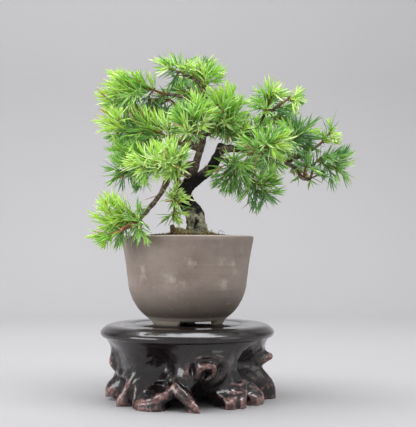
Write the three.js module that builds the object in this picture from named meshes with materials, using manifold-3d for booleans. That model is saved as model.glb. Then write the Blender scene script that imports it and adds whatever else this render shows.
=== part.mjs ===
// A needle juniper trained as a small bonsai, in a round clay pot on a carved root stand.
// Millimetres, +Z up, the front faces -Y. Lengths below are taken from the pot's axis and the table.
import * as THREE from "three";
import Module from "manifold-3d";

const wasm = await Module();
wasm.setup();
const { Manifold, Mesh } = wasm;

// Heights and rims
const STAND_HEIGHT = 50;
const POT_HEIGHT = 59.4;
const RIM_RADIUS = 45;
const WALL = 3.4; // of the pot, at the lip
const FLOOR = 4;
const FOOT_LIFT = 2.9; // the pot's belly clears the stand by this
const CLEAR = 0.3; // air between two parts of the tree
const SOIL_TOP = 110.4;
const TRUNK_CUT = SOIL_TOP + CLEAR;

// Foliage
const NEEDLE_LENGTH = 14.5;
const TWIG_RADIUS = 1.1;
const WHORL_GAP = 2.5;
const NEEDLE_SHARE = 0.88; // of the twig's faces that carry a needle
const NEEDLES_APART = 1.1;
const BETWEEN_MASSES = 1.7; // kept free between the mid-lines of two neighbours

// The pot's outer wall: height above the stand, radius
const POT_WALL = [
  [0, 24], [2.9, 25.8], [5, 27.3], [8.6, 31.6], [15.8, 36.8], [23.2, 39.6],
  [33.1, 41], [42, 42.2], [52.3, 44], [58.6, RIM_RADIUS], [POT_HEIGHT, 44.5],
];
const POT_FEET = [-132, -12, 108]; // middle of each foot, degrees
const POT_FOOT_SPAN = 60;

// The stand's disc: radius, height
const DISC = [
  [52, 41], [54.8, 41.5], [57.4, 42.4], [58.7, 44.6], [58, 46.8], [56, 48.9], [52.4, STAND_HEIGHT],
  [38.4, STAND_HEIGHT], [37.7, 49.4], [36.9, 49.4], [36.2, STAND_HEIGHT],
];
// The stand's body between its roots: height, radius
const STAND_BODY = [
  [0, 46], [4, 46.5], [8, 45], [14, 43], [20, 43.5], [26, 45.5], [32, 48.5], [37, 52], [42.5, 53.4],
];
// Roots of the stand: angle at the ground, angle at the apron, toe, swell at mid height, width
const STAND_ROOTS = [
  { foot: -180, top: -172, toe: 10, swell: 5, width: 9 },
  { foot: -152, top: -160, toe: 6, swell: 4, width: 7 },
  { foot: -115, top: -140, toe: 8, swell: 2, width: 8 },
  { foot: -85, top: -92, toe: 9.5, swell: 5, width: 6 },
  { foot: -55, top: -58, toe: 9, swell: 4.5, width: 8.5 },
  { foot: -29, top: -24, toe: 9.5, swell: 5, width: 7.5 },
  { foot: -3, top: -4, toe: 13, swell: 6, width: 8 },
  { foot: 32, top: 26, toe: 10, swell: 4, width: 8 },
  { foot: 68, top: 74, toe: 9, swell: 4.5, width: 9 },
  { foot: 104, top: 96, toe: 9.5, swell: 5, width: 7.5 },
  { foot: 141, top: 146, toe: 9, swell: 4, width: 8.5 },
];
// Knots stand out of the body, hollows go in: angle, height, amount, half width, half height
const STAND_KNOTS = [
  [-178, 23, 5, 7, 5.5], [-170, 12, 3, 6, 4], [-150, 27, 3, 7, 5], [-96, 30, 4, 6, 8], [-132, 10, 3, 6, 5],
  [-50, 31, 4, 6, 5], [-8, 27, 6.5, 6.5, 5], [-20, 12, 3, 5, 4], [20, 30, 4, 7, 6], [52, 22, 4.5, 7, 6],
  [88, 27, 4, 8, 5], [122, 20, 5, 8, 6], [160, 29, 3.5, 7, 5],
  [-118, 25, -7, 11, 12], [-40, 25, -8, 6, 8], [-162, 19, -3, 5, 6], [-12, 17, -5, 7, 3.5], [38, 20, -6, 8, 8],
  [75, 12, -4, 5, 5], [108, 31, -5, 9, 5], [132, 24, -5, 6, 8], [-78, 13, -4, 6, 4],
];
const STAND_LOOP = { angle: -71, height: 26, wide: 10, tall: 6.2, swell: 6.5, hole: 7 };
const STAND_LEVELS = [0, 3, 6.4, 10, 14, 18, 22, 26, 30.4, 35.6, 42.5];
const STAND_STEPS = 76; // round the stand

// The trunk and its surface roots: x, y, height, radius
const TRUNK = [
  [5.6, 0, TRUNK_CUT, 9], [4.7, 0, 114.6, 7.6], [3, -0.5, 119.4, 7.7], [1.3, -1, 124.2, 7.8],
  [-1, -1, 129.1, 7.1], [-3.1, -1, 134.2, 4.8], [-1, 0, 142.8, 4.4], [2.1, 0, 150, 4],
  [5.1, 1, 159.7, 3.2], [9.8, 2, 172.9, 2.35], [11.9, 2, 190.8, 1.8], [12.3, 1, 203.6, 1.45],
  [10.8, 0.5, 213.2, 1.05],
];
const SURFACE_ROOTS = [
  { angle: -165, reach: 12, radius: 3 }, { angle: -110, reach: 11.5, radius: 2.7 },
  { angle: -62, reach: 12, radius: 2.9 }, { angle: -8, reach: 10.5, radius: 3 },
  { angle: 48, reach: 11, radius: 2.7 }, { angle: 112, reach: 12, radius: 3 },
];
const TRUNK_HOLLOW = [-4.6, -5.4, 118.2, 4.6, 4, 5.2]; // centre, half sizes

// Boughs, each from inside the limb it leaves to the tip where its foliage begins
const BOUGHS = {
  right_bough: [[3.4, 0, 145.9, 3.49], [9.5, -1, 150.3, 3.21], [15.7, -2, 154.9, 3],
    [21.3, -2, 163.8, 2.8], [23.2, -2, 173, 2.46]],
  right_outer_bough: [[22.2, -2, 168.9, 2.53], [30.4, -1, 169.8, 2.67], [37.9, 0, 168.9, 2.4],
    [49.7, 2, 166.4, 2.06], [59.3, 2, 164.3, 1.79], [68.2, 1, 160.4, 1.58]],
  right_lower_bough: [[67.5, 1, 160.7, 1.51], [74.9, 0, 155.2, 1.44], [78.9, -1, 149.2, 1.37],
    [83.9, -2, 148.7, 1.09]],
  right_upper_bough: [[68.2, 1.5, 160.1, 1.3], [75.2, 2, 163.3, 1.24], [81.5, 3, 166.8, 1.1],
    [87.7, 3, 170.3, 0.96]],
  right_top_bough: [[42.1, 1, 167.9, 1.65], [45, 4, 175.9, 1.52], [49.9, 5, 187.1, 1.24],
    [53.3, 4, 195.2, 1.1]],
  right_tip_bough: [[51.9, 4, 191.8, 1.24], [57.2, 1, 195.7, 1.1], [62.5, -1, 199.2, 0.96]],
  right_back_bough: [[47.8, 4.5, 182.2, 1.31], [51.7, 11, 186.6, 1.12], [56.2, 16, 190.6, 0.99]],
  right_mid_bough: [[55.2, 2, 165.3, 1.44], [61.2, -1, 169.1, 1.3], [67.1, -3, 173.6, 1.09]],
  right_front_bough: [[38.6, 0, 168.5, 1.58], [42.2, -11, 167.8, 1.34], [46.4, -19, 168.1, 1.13]],
  right_under_bough: [[20.8, -2, 164.8, 1.77], [25.5, -5, 162.5, 1.49], [30.2, -6, 156.9, 1.22]],
  right_hang_bough: [[45.5, 1, 166.9, 1.37], [45.2, -6, 160.3, 1.22], [46.3, -10, 153.1, 1.08]],
  centre_bough: [[10.5, 2, 177.7, 1.44], [8.6, -7, 179.8, 1.29], [6.6, -14, 181.5, 1.14]],
  shoulder_bough: [[11.9, 2, 188, 1.37], [16.7, -2, 189.4, 1.3], [21.5, -4, 191.1, 1.09]],
  right_centre_bough: [[10.5, 2, 177, 1.51], [20.1, 1, 176.2, 1.37], [29.8, 1, 176.2, 1.17]],
  apex_bough: [[10.9, 1, 209.8, 1.3], [7.1, 0, 215.8, 1.23], [1.7, -1, 219.3, 1.16],
    [-3.1, -1, 220.7, 1.03]],
  upper_left_bough: [[12.3, 1, 202.3, 1.37], [5, 2, 203.5, 1.37], [-3.9, 2, 206.6, 1.31],
    [-14.9, 2, 207.9, 1.24]],
  upper_under_bough: [[12.3, 2, 194.9, 1.37], [3.6, 8, 195.6, 1.25], [-7, 12, 198, 1.05]],
  left_bough: [[9.2, 2, 169.4, 1.86], [1.7, -3, 170.9, 1.77], [-4.3, -8, 172.2, 1.76],
    [-10.2, -11, 173.8, 1.61]],
  front_left_bough: [[5.1, 1, 159.7, 1.72], [-0.2, -9, 158.3, 1.48], [-5.9, -18, 157, 1.26]],
  left_lower_bough: [[3.7, 0, 155.2, 1.78], [-7.1, -3, 156.6, 1.5], [-18.5, -7, 157.5, 1.29]],
  low_left_upper_bough: [[2.3, 0, 150, 2.26], [-3.6, -8, 151.6, 2.09], [-10.1, -13, 149.8, 1.94],
    [-13.9, -17, 144.5, 1.73]],
  low_left_lower_bough: [[-13.7, -16.5, 145.2, 1.73], [-18, -21, 136.2, 1.65], [-23.6, -26, 128.3, 1.57],
    [-28.5, -30, 122.3, 1.36]],
  back_left_bough: [[9.5, 2, 171.5, 1.58], [-0, 13, 176.4, 1.4], [-11.7, 23, 179.9, 1.28]],
  back_top_bough: [[12.2, 2, 201.1, 1.24], [9.8, 9, 203.7, 1.11], [6.9, 16, 207.1, 0.99]],
  back_centre_bough: [[10.2, 2, 173.6, 1.44], [7.7, 14, 178, 1.33], [4.7, 25, 183.1, 1.14]],
  back_right_bough: [[11.6, 2, 183.9, 1.37], [17.5, 11, 185.9, 1.33], [23.2, 19, 187.9, 1.13]],
  back_right_low_bough: [[45.6, 2, 167, 1.37], [48.9, 11, 167.1, 1.26], [52.1, 18, 166.5, 1.06]],
};

// Foliage: the limb it grows on, middle and half sizes of its space, two points of its stem, twigs
const MASSES = {
  apex: {
    on: "apex_bough", at: [-10.6, -1, 224.5], size: [19.8, 17, 11.6],
    stem: [[-7.2, -1, 222.4], [-18.1, -2, 226.3]], twigs: 15,
  },
  apex_right: {
    on: "trunk", at: [11.9, 1, 223.5], size: [14.4, 16, 11.7],
    stem: [[11.6, 1, 217.4], [14.3, 0, 225.4]], twigs: 13,
  },
  upper_left: {
    on: "upper_left_bough", at: [-38.9, 1, 209.1], size: [26.1, 19, 15.8],
    stem: [[-24.5, 2, 211.4], [-49.6, -1, 207.4]], twigs: 20,
  },
  upper_under: {
    on: "upper_under_bough", at: [-19.7, 13, 199.6], size: [14, 14, 11.2],
    stem: [[-12.7, 13, 199.6], [-24.6, 13, 201.7]], twigs: 10,
  },
  left: {
    on: "left_bough", at: [-35, -12, 184.4], size: [28.8, 17, 13.4],
    stem: [[-20.2, -12, 180.4], [-49.7, -12, 187.8]], twigs: 19,
  },
  centre: {
    on: "centre_bough", at: [3.5, -25, 190.3], size: [15.7, 18, 17],
    stem: [[4.8, -22, 184.9], [2.3, -30, 193.9]], twigs: 15,
  },
  shoulder: {
    on: "shoulder_bough", at: [23.5, -6, 199.6], size: [15.6, 18, 19.7],
    stem: [[24.1, -6, 195.5], [26.1, -8, 206]], twigs: 17,
  },
  front_left: {
    on: "front_left_bough", at: [-15.8, -32, 158.7], size: [25.9, 20, 16.2],
    stem: [[-12.7, -28, 156.5], [-25.1, -37, 158.8]], twigs: 19,
  },
  left_lower: {
    on: "left_lower_bough", at: [-37, -12, 157.6], size: [18.8, 18, 20.1],
    stem: [[-29, -11, 155.7], [-44.8, -14, 154.1]], twigs: 17,
  },
  low_left: {
    on: "low_left_lower_bough", at: [-41, -38, 117.1], size: [21.7, 20, 20.5],
    stem: [[-34.8, -36, 118.4], [-46.5, -40, 114.5]], twigs: 18,
  },
  trunk_shoot: {
    on: "trunk", root: [-3.1, -1, 133.9], at: [-9.9, -17, 132.5], size: [17.9, 14, 18.6],
    stem: [[-9.8, -12, 132.8], [-9.3, -17, 125.2]], twigs: 13,
  },
  right_top: {
    on: "right_top_bough", at: [54.7, 4, 204.2], size: [14.5, 16, 16.6],
    stem: [[54.3, 4, 200.1], [55.4, 4, 210.4]], twigs: 14,
  },
  right_tip: {
    on: "right_tip_bough", at: [72.7, -2, 204.4], size: [12.3, 12, 8.9],
    stem: [[67.3, -1, 201.2], [74.6, -3, 205.3]], twigs: 10,
  },
  right_back: {
    on: "right_back_bough", at: [62.9, 20, 194.4], size: [14.9, 15, 12.1],
    stem: [[59.2, 18, 192], [67.3, 22, 197.6]], twigs: 10,
  },
  right_mid: {
    on: "right_mid_bough", at: [75.9, -4, 178.9], size: [19, 17, 15.6],
    stem: [[73.1, -4, 176.9], [81.2, -5, 182.1]], twigs: 15,
  },
  right_front: {
    on: "right_front_bough", at: [53, -29, 172], size: [19.5, 18, 14.3],
    stem: [[52.5, -27, 170], [59, -35, 171.8]], twigs: 15,
  },
  right_under: {
    on: "right_under_bough", at: [32.3, -6, 153.5], size: [20.3, 19, 18.3],
    stem: [[34.3, -6, 154.2], [38.3, -7, 149.4]], twigs: 17,
  },
  right_hang: {
    on: "right_hang_bough", at: [47.4, -13, 142.8], size: [16.1, 15, 16.1],
    stem: [[46.8, -12, 146.9], [50.7, -15, 138.6]], twigs: 13,
  },
  far_right_top: {
    on: "right_upper_bough", at: [98.7, 3, 179.2], size: [11.7, 15, 13.8],
    stem: [[93.2, 3, 175.1], [100.7, 3, 182]], twigs: 11,
  },
  far_right: {
    on: "right_lower_bough", at: [97, -4, 159.2], size: [18.4, 18, 17],
    stem: [[90.3, -3, 151.1], [102.1, -6, 158.9]], twigs: 16,
  },
  far_right_inner: {
    on: "right_lower_bough", root: [79.6, -1, 150.6], at: [79.3, -10, 156.5], size: [11.4, 12, 10.8],
    stem: [[79.4, -6, 153.5], [79.7, -12, 159]], twigs: 6,
  },
  right_centre: {
    on: "right_centre_bough", at: [42.8, 2, 181.8], size: [15.1, 15, 11],
    stem: [[36, 2, 177.7], [46.2, 1, 183]], twigs: 10,
  },
  back_left: {
    on: "back_left_bough", at: [-33.1, 32, 184.8], size: [23.9, 20, 19.5],
    stem: [[-23.5, 30, 183.1], [-42.1, 36, 189]], twigs: 13,
  },
  back_top: {
    on: "back_top_bough", at: [-0.4, 29, 214.6], size: [22.3, 19, 17.3],
    stem: [[2.5, 26, 212.6], [-4.9, 35, 220.9]], twigs: 12,
  },
  back_centre: {
    on: "back_centre_bough", at: [-1.5, 43, 193.1], size: [20.6, 18, 18.4],
    stem: [[0.8, 38, 190.1], [-5.4, 49, 197.7]], twigs: 12,
  },
  back_right: {
    on: "back_right_bough", at: [28.5, 33, 191.5], size: [20.3, 20, 15.9],
    stem: [[28.4, 29, 190.9], [35.2, 38, 195.2]], twigs: 14,
  },
  back_right_low: {
    on: "back_right_low_bough", at: [57.4, 32, 167.5], size: [22.4, 19, 18.1],
    stem: [[57, 27, 166.9], [65.9, 38, 170.3]], twigs: 12,
  },
};

const PI2 = Math.PI * 2;
const rad = (degrees) => (degrees * Math.PI) / 180;
const vec = (p) => new THREE.Vector3(p[0], p[1], p[2]);

// Closes a stack of rings into a solid. A ring of one point is a tip.
function skin(rings) {
  const points = [];
  const faces = [];
  let below = 0;
  rings.forEach((ring, level) => {
    const start = points.length / 3;
    for (const p of ring) points.push(p.x, p.y, p.z);
    if (level > 0) {
      const last = rings[level - 1];
      const count = Math.max(last.length, ring.length);
      for (let k = 0; k < count; k++) {
        const next = (k + 1) % count;
        const low = last.length > 1;
        const high = ring.length > 1;
        if (low) faces.push(below + k, below + next, high ? start + next : start);
        if (high) faces.push(low ? below + k : below, start + next, start + k);
      }
    }
    below = start;
  });
  const bottom = rings[0].length;
  for (let k = 1; k < bottom - 1; k++) faces.push(0, k + 1, k);
  const top = rings[rings.length - 1].length;
  for (let k = 1; k < top - 1; k++) faces.push(below, below + k, below + k + 1);
  const mesh = new Mesh({
    numProp: 3,
    vertProperties: new Float32Array(points),
    triVerts: new Uint32Array(faces),
  });
  return new Manifold(mesh);
}

// A full turn of a profile of [radius, height] that starts and ends on the axis.
function turned(profile, sides, base = 0) {
  return skin(profile.map(([radius, height]) => {
    if (radius === 0) return [new THREE.Vector3(0, 0, base + height)];
    return Array.from({ length: sides }, (_, k) => {
      const a = (k / sides) * PI2;
      return new THREE.Vector3(radius * Math.cos(a), radius * Math.sin(a), base + height);
    });
  }));
}

// A limb along points of [x, y, z, radius]. It can be drawn fatter, to cut clearance.
function limb(path, sides, grow = 0) {
  const at = path.map(vec);
  const rings = [];
  const along = at.map((p, i) => {
    const from = at[Math.max(i - 1, 0)];
    const to = at[Math.min(i + 1, at.length - 1)];
    return to.clone().sub(from).normalize();
  });
  let side = new THREE.Vector3(0, 1, 0).cross(along[0]).normalize();
  at.forEach((p, i) => {
    side = side.sub(along[i].clone().multiplyScalar(side.dot(along[i]))).normalize();
    const up = along[i].clone().cross(side);
    const radius = path[i][3] + grow;
    const middle = p.clone();
    if (i === 0) middle.addScaledVector(along[i], -grow);
    if (i === at.length - 1) middle.addScaledVector(along[i], grow);
    rings.push(Array.from({ length: sides }, (_, k) => {
      const a = (k / sides) * PI2;
      return middle.clone()
        .addScaledVector(side, radius * Math.cos(a))
        .addScaledVector(up, radius * Math.sin(a));
    }));
  });
  return skin(rings);
}

// The same random numbers each time, from a whole number.
function seeded(seed) {
  let state = seed >>> 0;
  return () => {
    state = (state + 0x6d2b79f5) >>> 0;
    let t = state;
    t = Math.imul(t ^ (t >>> 15), t | 1);
    t ^= t + Math.imul(t ^ (t >>> 7), t | 61);
    return ((t ^ (t >>> 14)) >>> 0) / 4294967296;
  };
}

function largest(solid) {
  const parts = solid.decompose();
  return parts.reduce((best, part) => (part.volume() > best.volume() ? part : best));
}

function ball(x, y, z, a, b, c, sides = 12) {
  return Manifold.sphere(1, sides).scale([a, b, c]).translate([x, y, z]);
}

// The height table's radius at a height, by straight lines.
function between(table, height) {
  const i = table.findIndex(([h]) => h >= height);
  if (i <= 0) return table[i < 0 ? table.length - 1 : 0][1];
  const [h0, r0] = table[i - 1];
  const [h1, r1] = table[i];
  return r0 + ((r1 - r0) * (height - h0)) / (h1 - h0);
}

// Degrees from one angle to another, the short way round.
function turn(from, to) {
  return ((((to - from) % 360) + 540) % 360) - 180;
}

const bell = (x) => Math.exp(-x * x);

// The stand's carved surface: how far it lies from the axis at an angle and height.
function standRadius(angle, height) {
  const body = between(STAND_BODY, height);
  let radius = body;
  for (const root of STAND_ROOTS) {
    const middle = root.foot + turn(root.foot, root.top) * Math.min(height / 38, 1);
    const arc = rad(turn(middle, angle)) * body;
    const rise = root.toe * bell(height / 8.5) + root.swell * bell((height - 19) / 13);
    const width = root.width * (0.78 + 0.22 * bell(height / 10));
    radius += rise * bell(arc / width);
  }
  for (const [at, level, amount, wide, tall] of STAND_KNOTS) {
    const arc = rad(turn(at, angle)) * body;
    radius += amount * bell(Math.hypot(arc / wide, (height - level) / tall));
  }
  const loop = STAND_LOOP;
  const arc = rad(turn(loop.angle, angle)) * body;
  const out = Math.hypot(arc / loop.wide, (height - loop.height) / loop.tall);
  radius += loop.swell * bell((out - 1) / 0.42) - loop.hole * bell(out / 0.62);
  return radius;
}

// The stand: a turned disc on a solid body of carved roots, hollowed under so it stands on its toes.
function standSolid() {
  const rings = STAND_LEVELS.map((height) =>
    Array.from({ length: STAND_STEPS }, (_, k) => {
      const angle = (k / STAND_STEPS) * 360 - 180;
      const radius = standRadius(angle, height);
      return new THREE.Vector3(radius * Math.cos(rad(angle)), radius * Math.sin(rad(angle)), height);
    }));
  const top = STAND_LEVELS[STAND_LEVELS.length - 1];
  const body = skin([[new THREE.Vector3(0, 0, 0)], ...rings, [new THREE.Vector3(0, 0, top)]]);
  const disc = turned([[0, 41], ...DISC, [0, STAND_HEIGHT]], 52);
  const recess = turned([[0, -1], [39, -1], [37, 4.5], [0, 4.5]], 22);
  const arches = STAND_ROOTS.map((root, i) => {
    const next = STAND_ROOTS[(i + 1) % STAND_ROOTS.length];
    const step = turn(root.foot, next.foot);
    const middle = root.foot + step / 2;
    const wide = Math.max(rad(step) * 50 * 0.5 - 4.2, 2.2);
    return Manifold.cylinder(40, 1, 1, 10, true)
      .scale([Math.min(wide, 9) * 0.8, 4.9, 1])
      .rotate([90, 0, 90])
      .translate([54, 0, 0])
      .rotate([0, 0, middle]);
  });
  return largest(Manifold.union([body, disc]).subtract(Manifold.union([recess, ...arches])));
}

// One foot of the pot: a block on a circle, its ends slanting in towards the stand.
function potFoot(middle) {
  const steps = 6;
  const levels = [[0, POT_FOOT_SPAN / 2 - 5.5], [4.4, POT_FOOT_SPAN / 2]];
  return skin(levels.map(([height, half]) => {
    const outer = [];
    const inner = [];
    for (let k = 0; k <= steps; k++) {
      const a = rad(middle - half + (2 * half * k) / steps);
      const edge = height === 0 ? 24.2 : 26.6;
      outer.push(new THREE.Vector3(edge * Math.cos(a), edge * Math.sin(a), STAND_HEIGHT + height));
      inner.unshift(new THREE.Vector3(18 * Math.cos(a), 18 * Math.sin(a), STAND_HEIGHT + height));
    }
    return [...outer, ...inner];
  }));
}

// The pot's inner wall, which the soil follows: height above the stand, radius.
function potInside(grow = 0) {
  const floor = FOOT_LIFT + FLOOR;
  const wall = POT_WALL.filter(([h], i) => h > floor + 1 && h < POT_HEIGHT - 1 && i % 2 === 0);
  return [
    [floor, 26 - grow],
    ...wall.map(([h, r]) => [h + 0.8, r - WALL - 0.4 - grow]),
  ];
}

function potSolid() {
  const outer = POT_WALL.filter(([h]) => h >= FOOT_LIFT).map(([h, r]) => [r, h]);
  const inner = potInside().reverse().map(([h, r]) => [r, h]);
  const lip = [[RIM_RADIUS - WALL, POT_HEIGHT]];
  const shell = turned(
    [[0, FOOT_LIFT], ...outer, ...lip, ...inner, [0, FOOT_LIFT + FLOOR]], 52, STAND_HEIGHT);
  return Manifold.union([shell, ...POT_FEET.map(potFoot)]);
}

// The soil fills the pot and rises a little to the trunk, with the stub of an old sucker in it.
function soilSolid() {
  const side = potInside(CLEAR).filter(([h]) => h < 52).map(([h, r]) => [r, h + STAND_HEIGHT]);
  side[0][1] += CLEAR;
  const top = [[39.8, 106.4], [33, 108.6], [25, 109.8], [19, SOIL_TOP]];
  const fill = turned([[0, side[0][1]], ...side, ...top, [0, SOIL_TOP]], 32);
  const stub = limb([[-9, -5, 108, 2.6], [-9.6, -5.4, 113, 2.2], [-10.3, -6, 115.6, 1.6]], 8);
  return Manifold.union([fill, stub]);
}

function trunkSolid() {
  const below = [TRUNK[0][0] + 0.4, 0, TRUNK_CUT - 3, TRUNK[0][3] + 1];
  const stem = limb([below, ...TRUNK], 12);
  const roots = SURFACE_ROOTS.map(({ angle, reach, radius }) => {
    const [x, y] = TRUNK[0];
    const out = (r, z, size) => [x + r * Math.cos(rad(angle)), y + r * Math.sin(rad(angle)), z, size];
    return limb([out(3, 117, radius), out(8.2, 112.6, radius), out(reach, 109.2, radius * 0.6)], 6);
  });
  const hollow = ball(...TRUNK_HOLLOW);
  const whole = Manifold.union([stem, ...roots]).subtract(hollow);
  return largest(whole.trimByPlane([0, 0, 1], TRUNK_CUT));
}

const limbPaths = { trunk: TRUNK, ...BOUGHS };
const massList = Object.entries(MASSES).map(([name, mass], i) => ({ name, seed: 101 + 17 * i, ...mass }));

// How far a point lies outside a mass's own space, about in millimetres.
function outside(mass, p) {
  const [a, b, c] = mass.size;
  const f = Math.hypot((p.x - mass.at[0]) / a, (p.y - mass.at[1]) / b, (p.z - mass.at[2]) / c);
  return (f - 1) * Math.min(a, b, c);
}

function owned(mass, p) {
  const own = outside(mass, p);
  if (own > 0.8) return false;
  return massList.every((other) => other === mass || outside(other, p) > own + BETWEEN_MASSES);
}

// Whether a point stands clear of every limb by a distance.
function clearOfLimbs(p, distance) {
  for (const path of Object.values(limbPaths)) {
    for (let i = 1; i < path.length; i++) {
      const a = vec(path[i - 1]);
      const b = vec(path[i]);
      const span = b.clone().sub(a);
      const t = THREE.MathUtils.clamp(p.clone().sub(a).dot(span) / span.lengthSq(), 0, 1);
      const radius = path[i - 1][3] + (path[i][3] - path[i - 1][3]) * t;
      if (p.distanceTo(a.addScaledVector(span, t)) < radius + distance) return false;
    }
  }
  return p.z > SOIL_TOP + distance || Math.hypot(p.x, p.y) > RIM_RADIUS + distance;
}

// Whether a straight piece keeps to the mass's space and clear of the limbs.
function fits(mass, from, to, radius, skipStart = 0) {
  for (let k = 0; k <= 6; k++) {
    const t = k / 6;
    const p = from.clone().lerp(to, t);
    if (p.distanceTo(from) < skipStart) continue;
    if (!owned(mass, p)) return false;
    if (!clearOfLimbs(p, radius + CLEAR)) return false;
  }
  return true;
}

// Adds a three-sided twig that leaves a face of the wood. Its rings turn by 60 degrees each, so six
// faces look out round every step. Returns those faces, for needles and further twigs.
function addTwig(tree, corners, from, to, bare) {
  const { points, faces } = tree;
  const along = to.clone().sub(from).normalize();
  const side = points[corners[0]].clone().sub(from);
  side.addScaledVector(along, -side.dot(along)).normalize();
  const up = along.clone().cross(side);
  const length = from.distanceTo(to);
  const steps = Math.max(Math.round((length * (1 - bare)) / WHORL_GAP), 1);
  const open = [];
  let last = corners;
  for (let level = 1; level <= steps + 1; level++) {
    const t = bare + ((1 - bare) * (level - 1)) / steps;
    const turned = (level * PI2) / 6;
    const ring = [0, 1, 2].map((k) => {
      const a = turned + (k * PI2) / 3;
      const p = from.clone().lerp(to, t)
        .addScaledVector(side, TWIG_RADIUS * Math.cos(a))
        .addScaledVector(up, TWIG_RADIUS * Math.sin(a));
      return points.push(p) - 1;
    });
    for (let k = 0; k < 3; k++) {
      const next = (k + 1) % 3;
      const angle = turned + (k * PI2) / 3;
      const pair = [
        { corners: [last[k], last[next], ring[k]], angle, t },
        { corners: [last[next], ring[next], ring[k]], angle: angle + PI2 / 6, t },
      ];
      if (level === 1) faces.push(...pair[0].corners, ...pair[1].corners);
      else open.push(...pair);
    }
    last = ring;
  }
  for (const face of open) {
    face.root = middleOf(face.corners.map((i) => points[i]));
    face.out = side.clone().multiplyScalar(Math.cos(face.angle)).addScaledVector(up, Math.sin(face.angle));
  }
  const twig = { from, to, along, side, up };
  return { twig, open, last };
}

function middleOf(list) {
  const sum = new THREE.Vector3();
  for (const p of list) sum.add(p);
  return sum.divideScalar(list.length);
}

// Draws a face out to a needle, if the needle keeps to the mass's space and clear of the others.
function drawNeedle(tree, corners, aims, own) {
  const { mass, points, faces, grown, random } = tree;
  const root = middleOf(corners.map((i) => points[i]));
  const full = NEEDLE_LENGTH * (0.9 + 0.1 * random());
  for (const share of [1, 0.85, 0.7, 0.55]) {
    for (const aim of aims) {
      const tip = root.clone().addScaledVector(aim, full * share);
      if (!fits(mass, root, tip, 0.7, 1)) continue;
      if (grown.some((other) => other.own !== own && tooNear(root, tip, other))) continue;
      grown.push({ from: root, to: tip, apart: NEEDLES_APART });
      const [a, b, c] = corners;
      const d = points.push(tip) - 1;
      faces.push(a, b, d, b, c, d, c, a, d);
      return;
    }
  }
  faces.push(...corners);
}

// Whether a needle comes close to another piece anywhere but at its root.
function tooNear(root, tip, other) {
  if (root.distanceTo(other.from) > 2.5 * NEEDLE_LENGTH) return false;
  const p = new THREE.Vector3();
  const q = new THREE.Vector3();
  for (let i = 1; i <= 6; i++) {
    p.copy(root).lerp(tip, i / 6);
    for (let j = 1; j <= 6; j++) {
      if (p.distanceTo(q.copy(other.from).lerp(other.to, j / 6)) < other.apart) return true;
    }
  }
  return false;
}

function needleRound(tree, { twig, open, last }, share) {
  const { random } = tree;
  for (const face of open) {
    if (face.used) continue;
    if (random() > share) {
      tree.faces.push(...face.corners);
      continue;
    }
    const aims = [0, 1].map(() => {
      const lean = rad(68 - 22 * face.t + 14 * (random() - 0.5));
      const angle = face.angle + 0.5 * (random() - 0.5);
      return twig.along.clone().multiplyScalar(Math.cos(lean))
        .addScaledVector(twig.side, Math.sin(lean) * Math.cos(angle))
        .addScaledVector(twig.up, Math.sin(lean) * Math.sin(angle));
    });
    drawNeedle(tree, face.corners, aims, twig);
  }
  drawNeedle(tree, last, [twig.along], twig);
}

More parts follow.
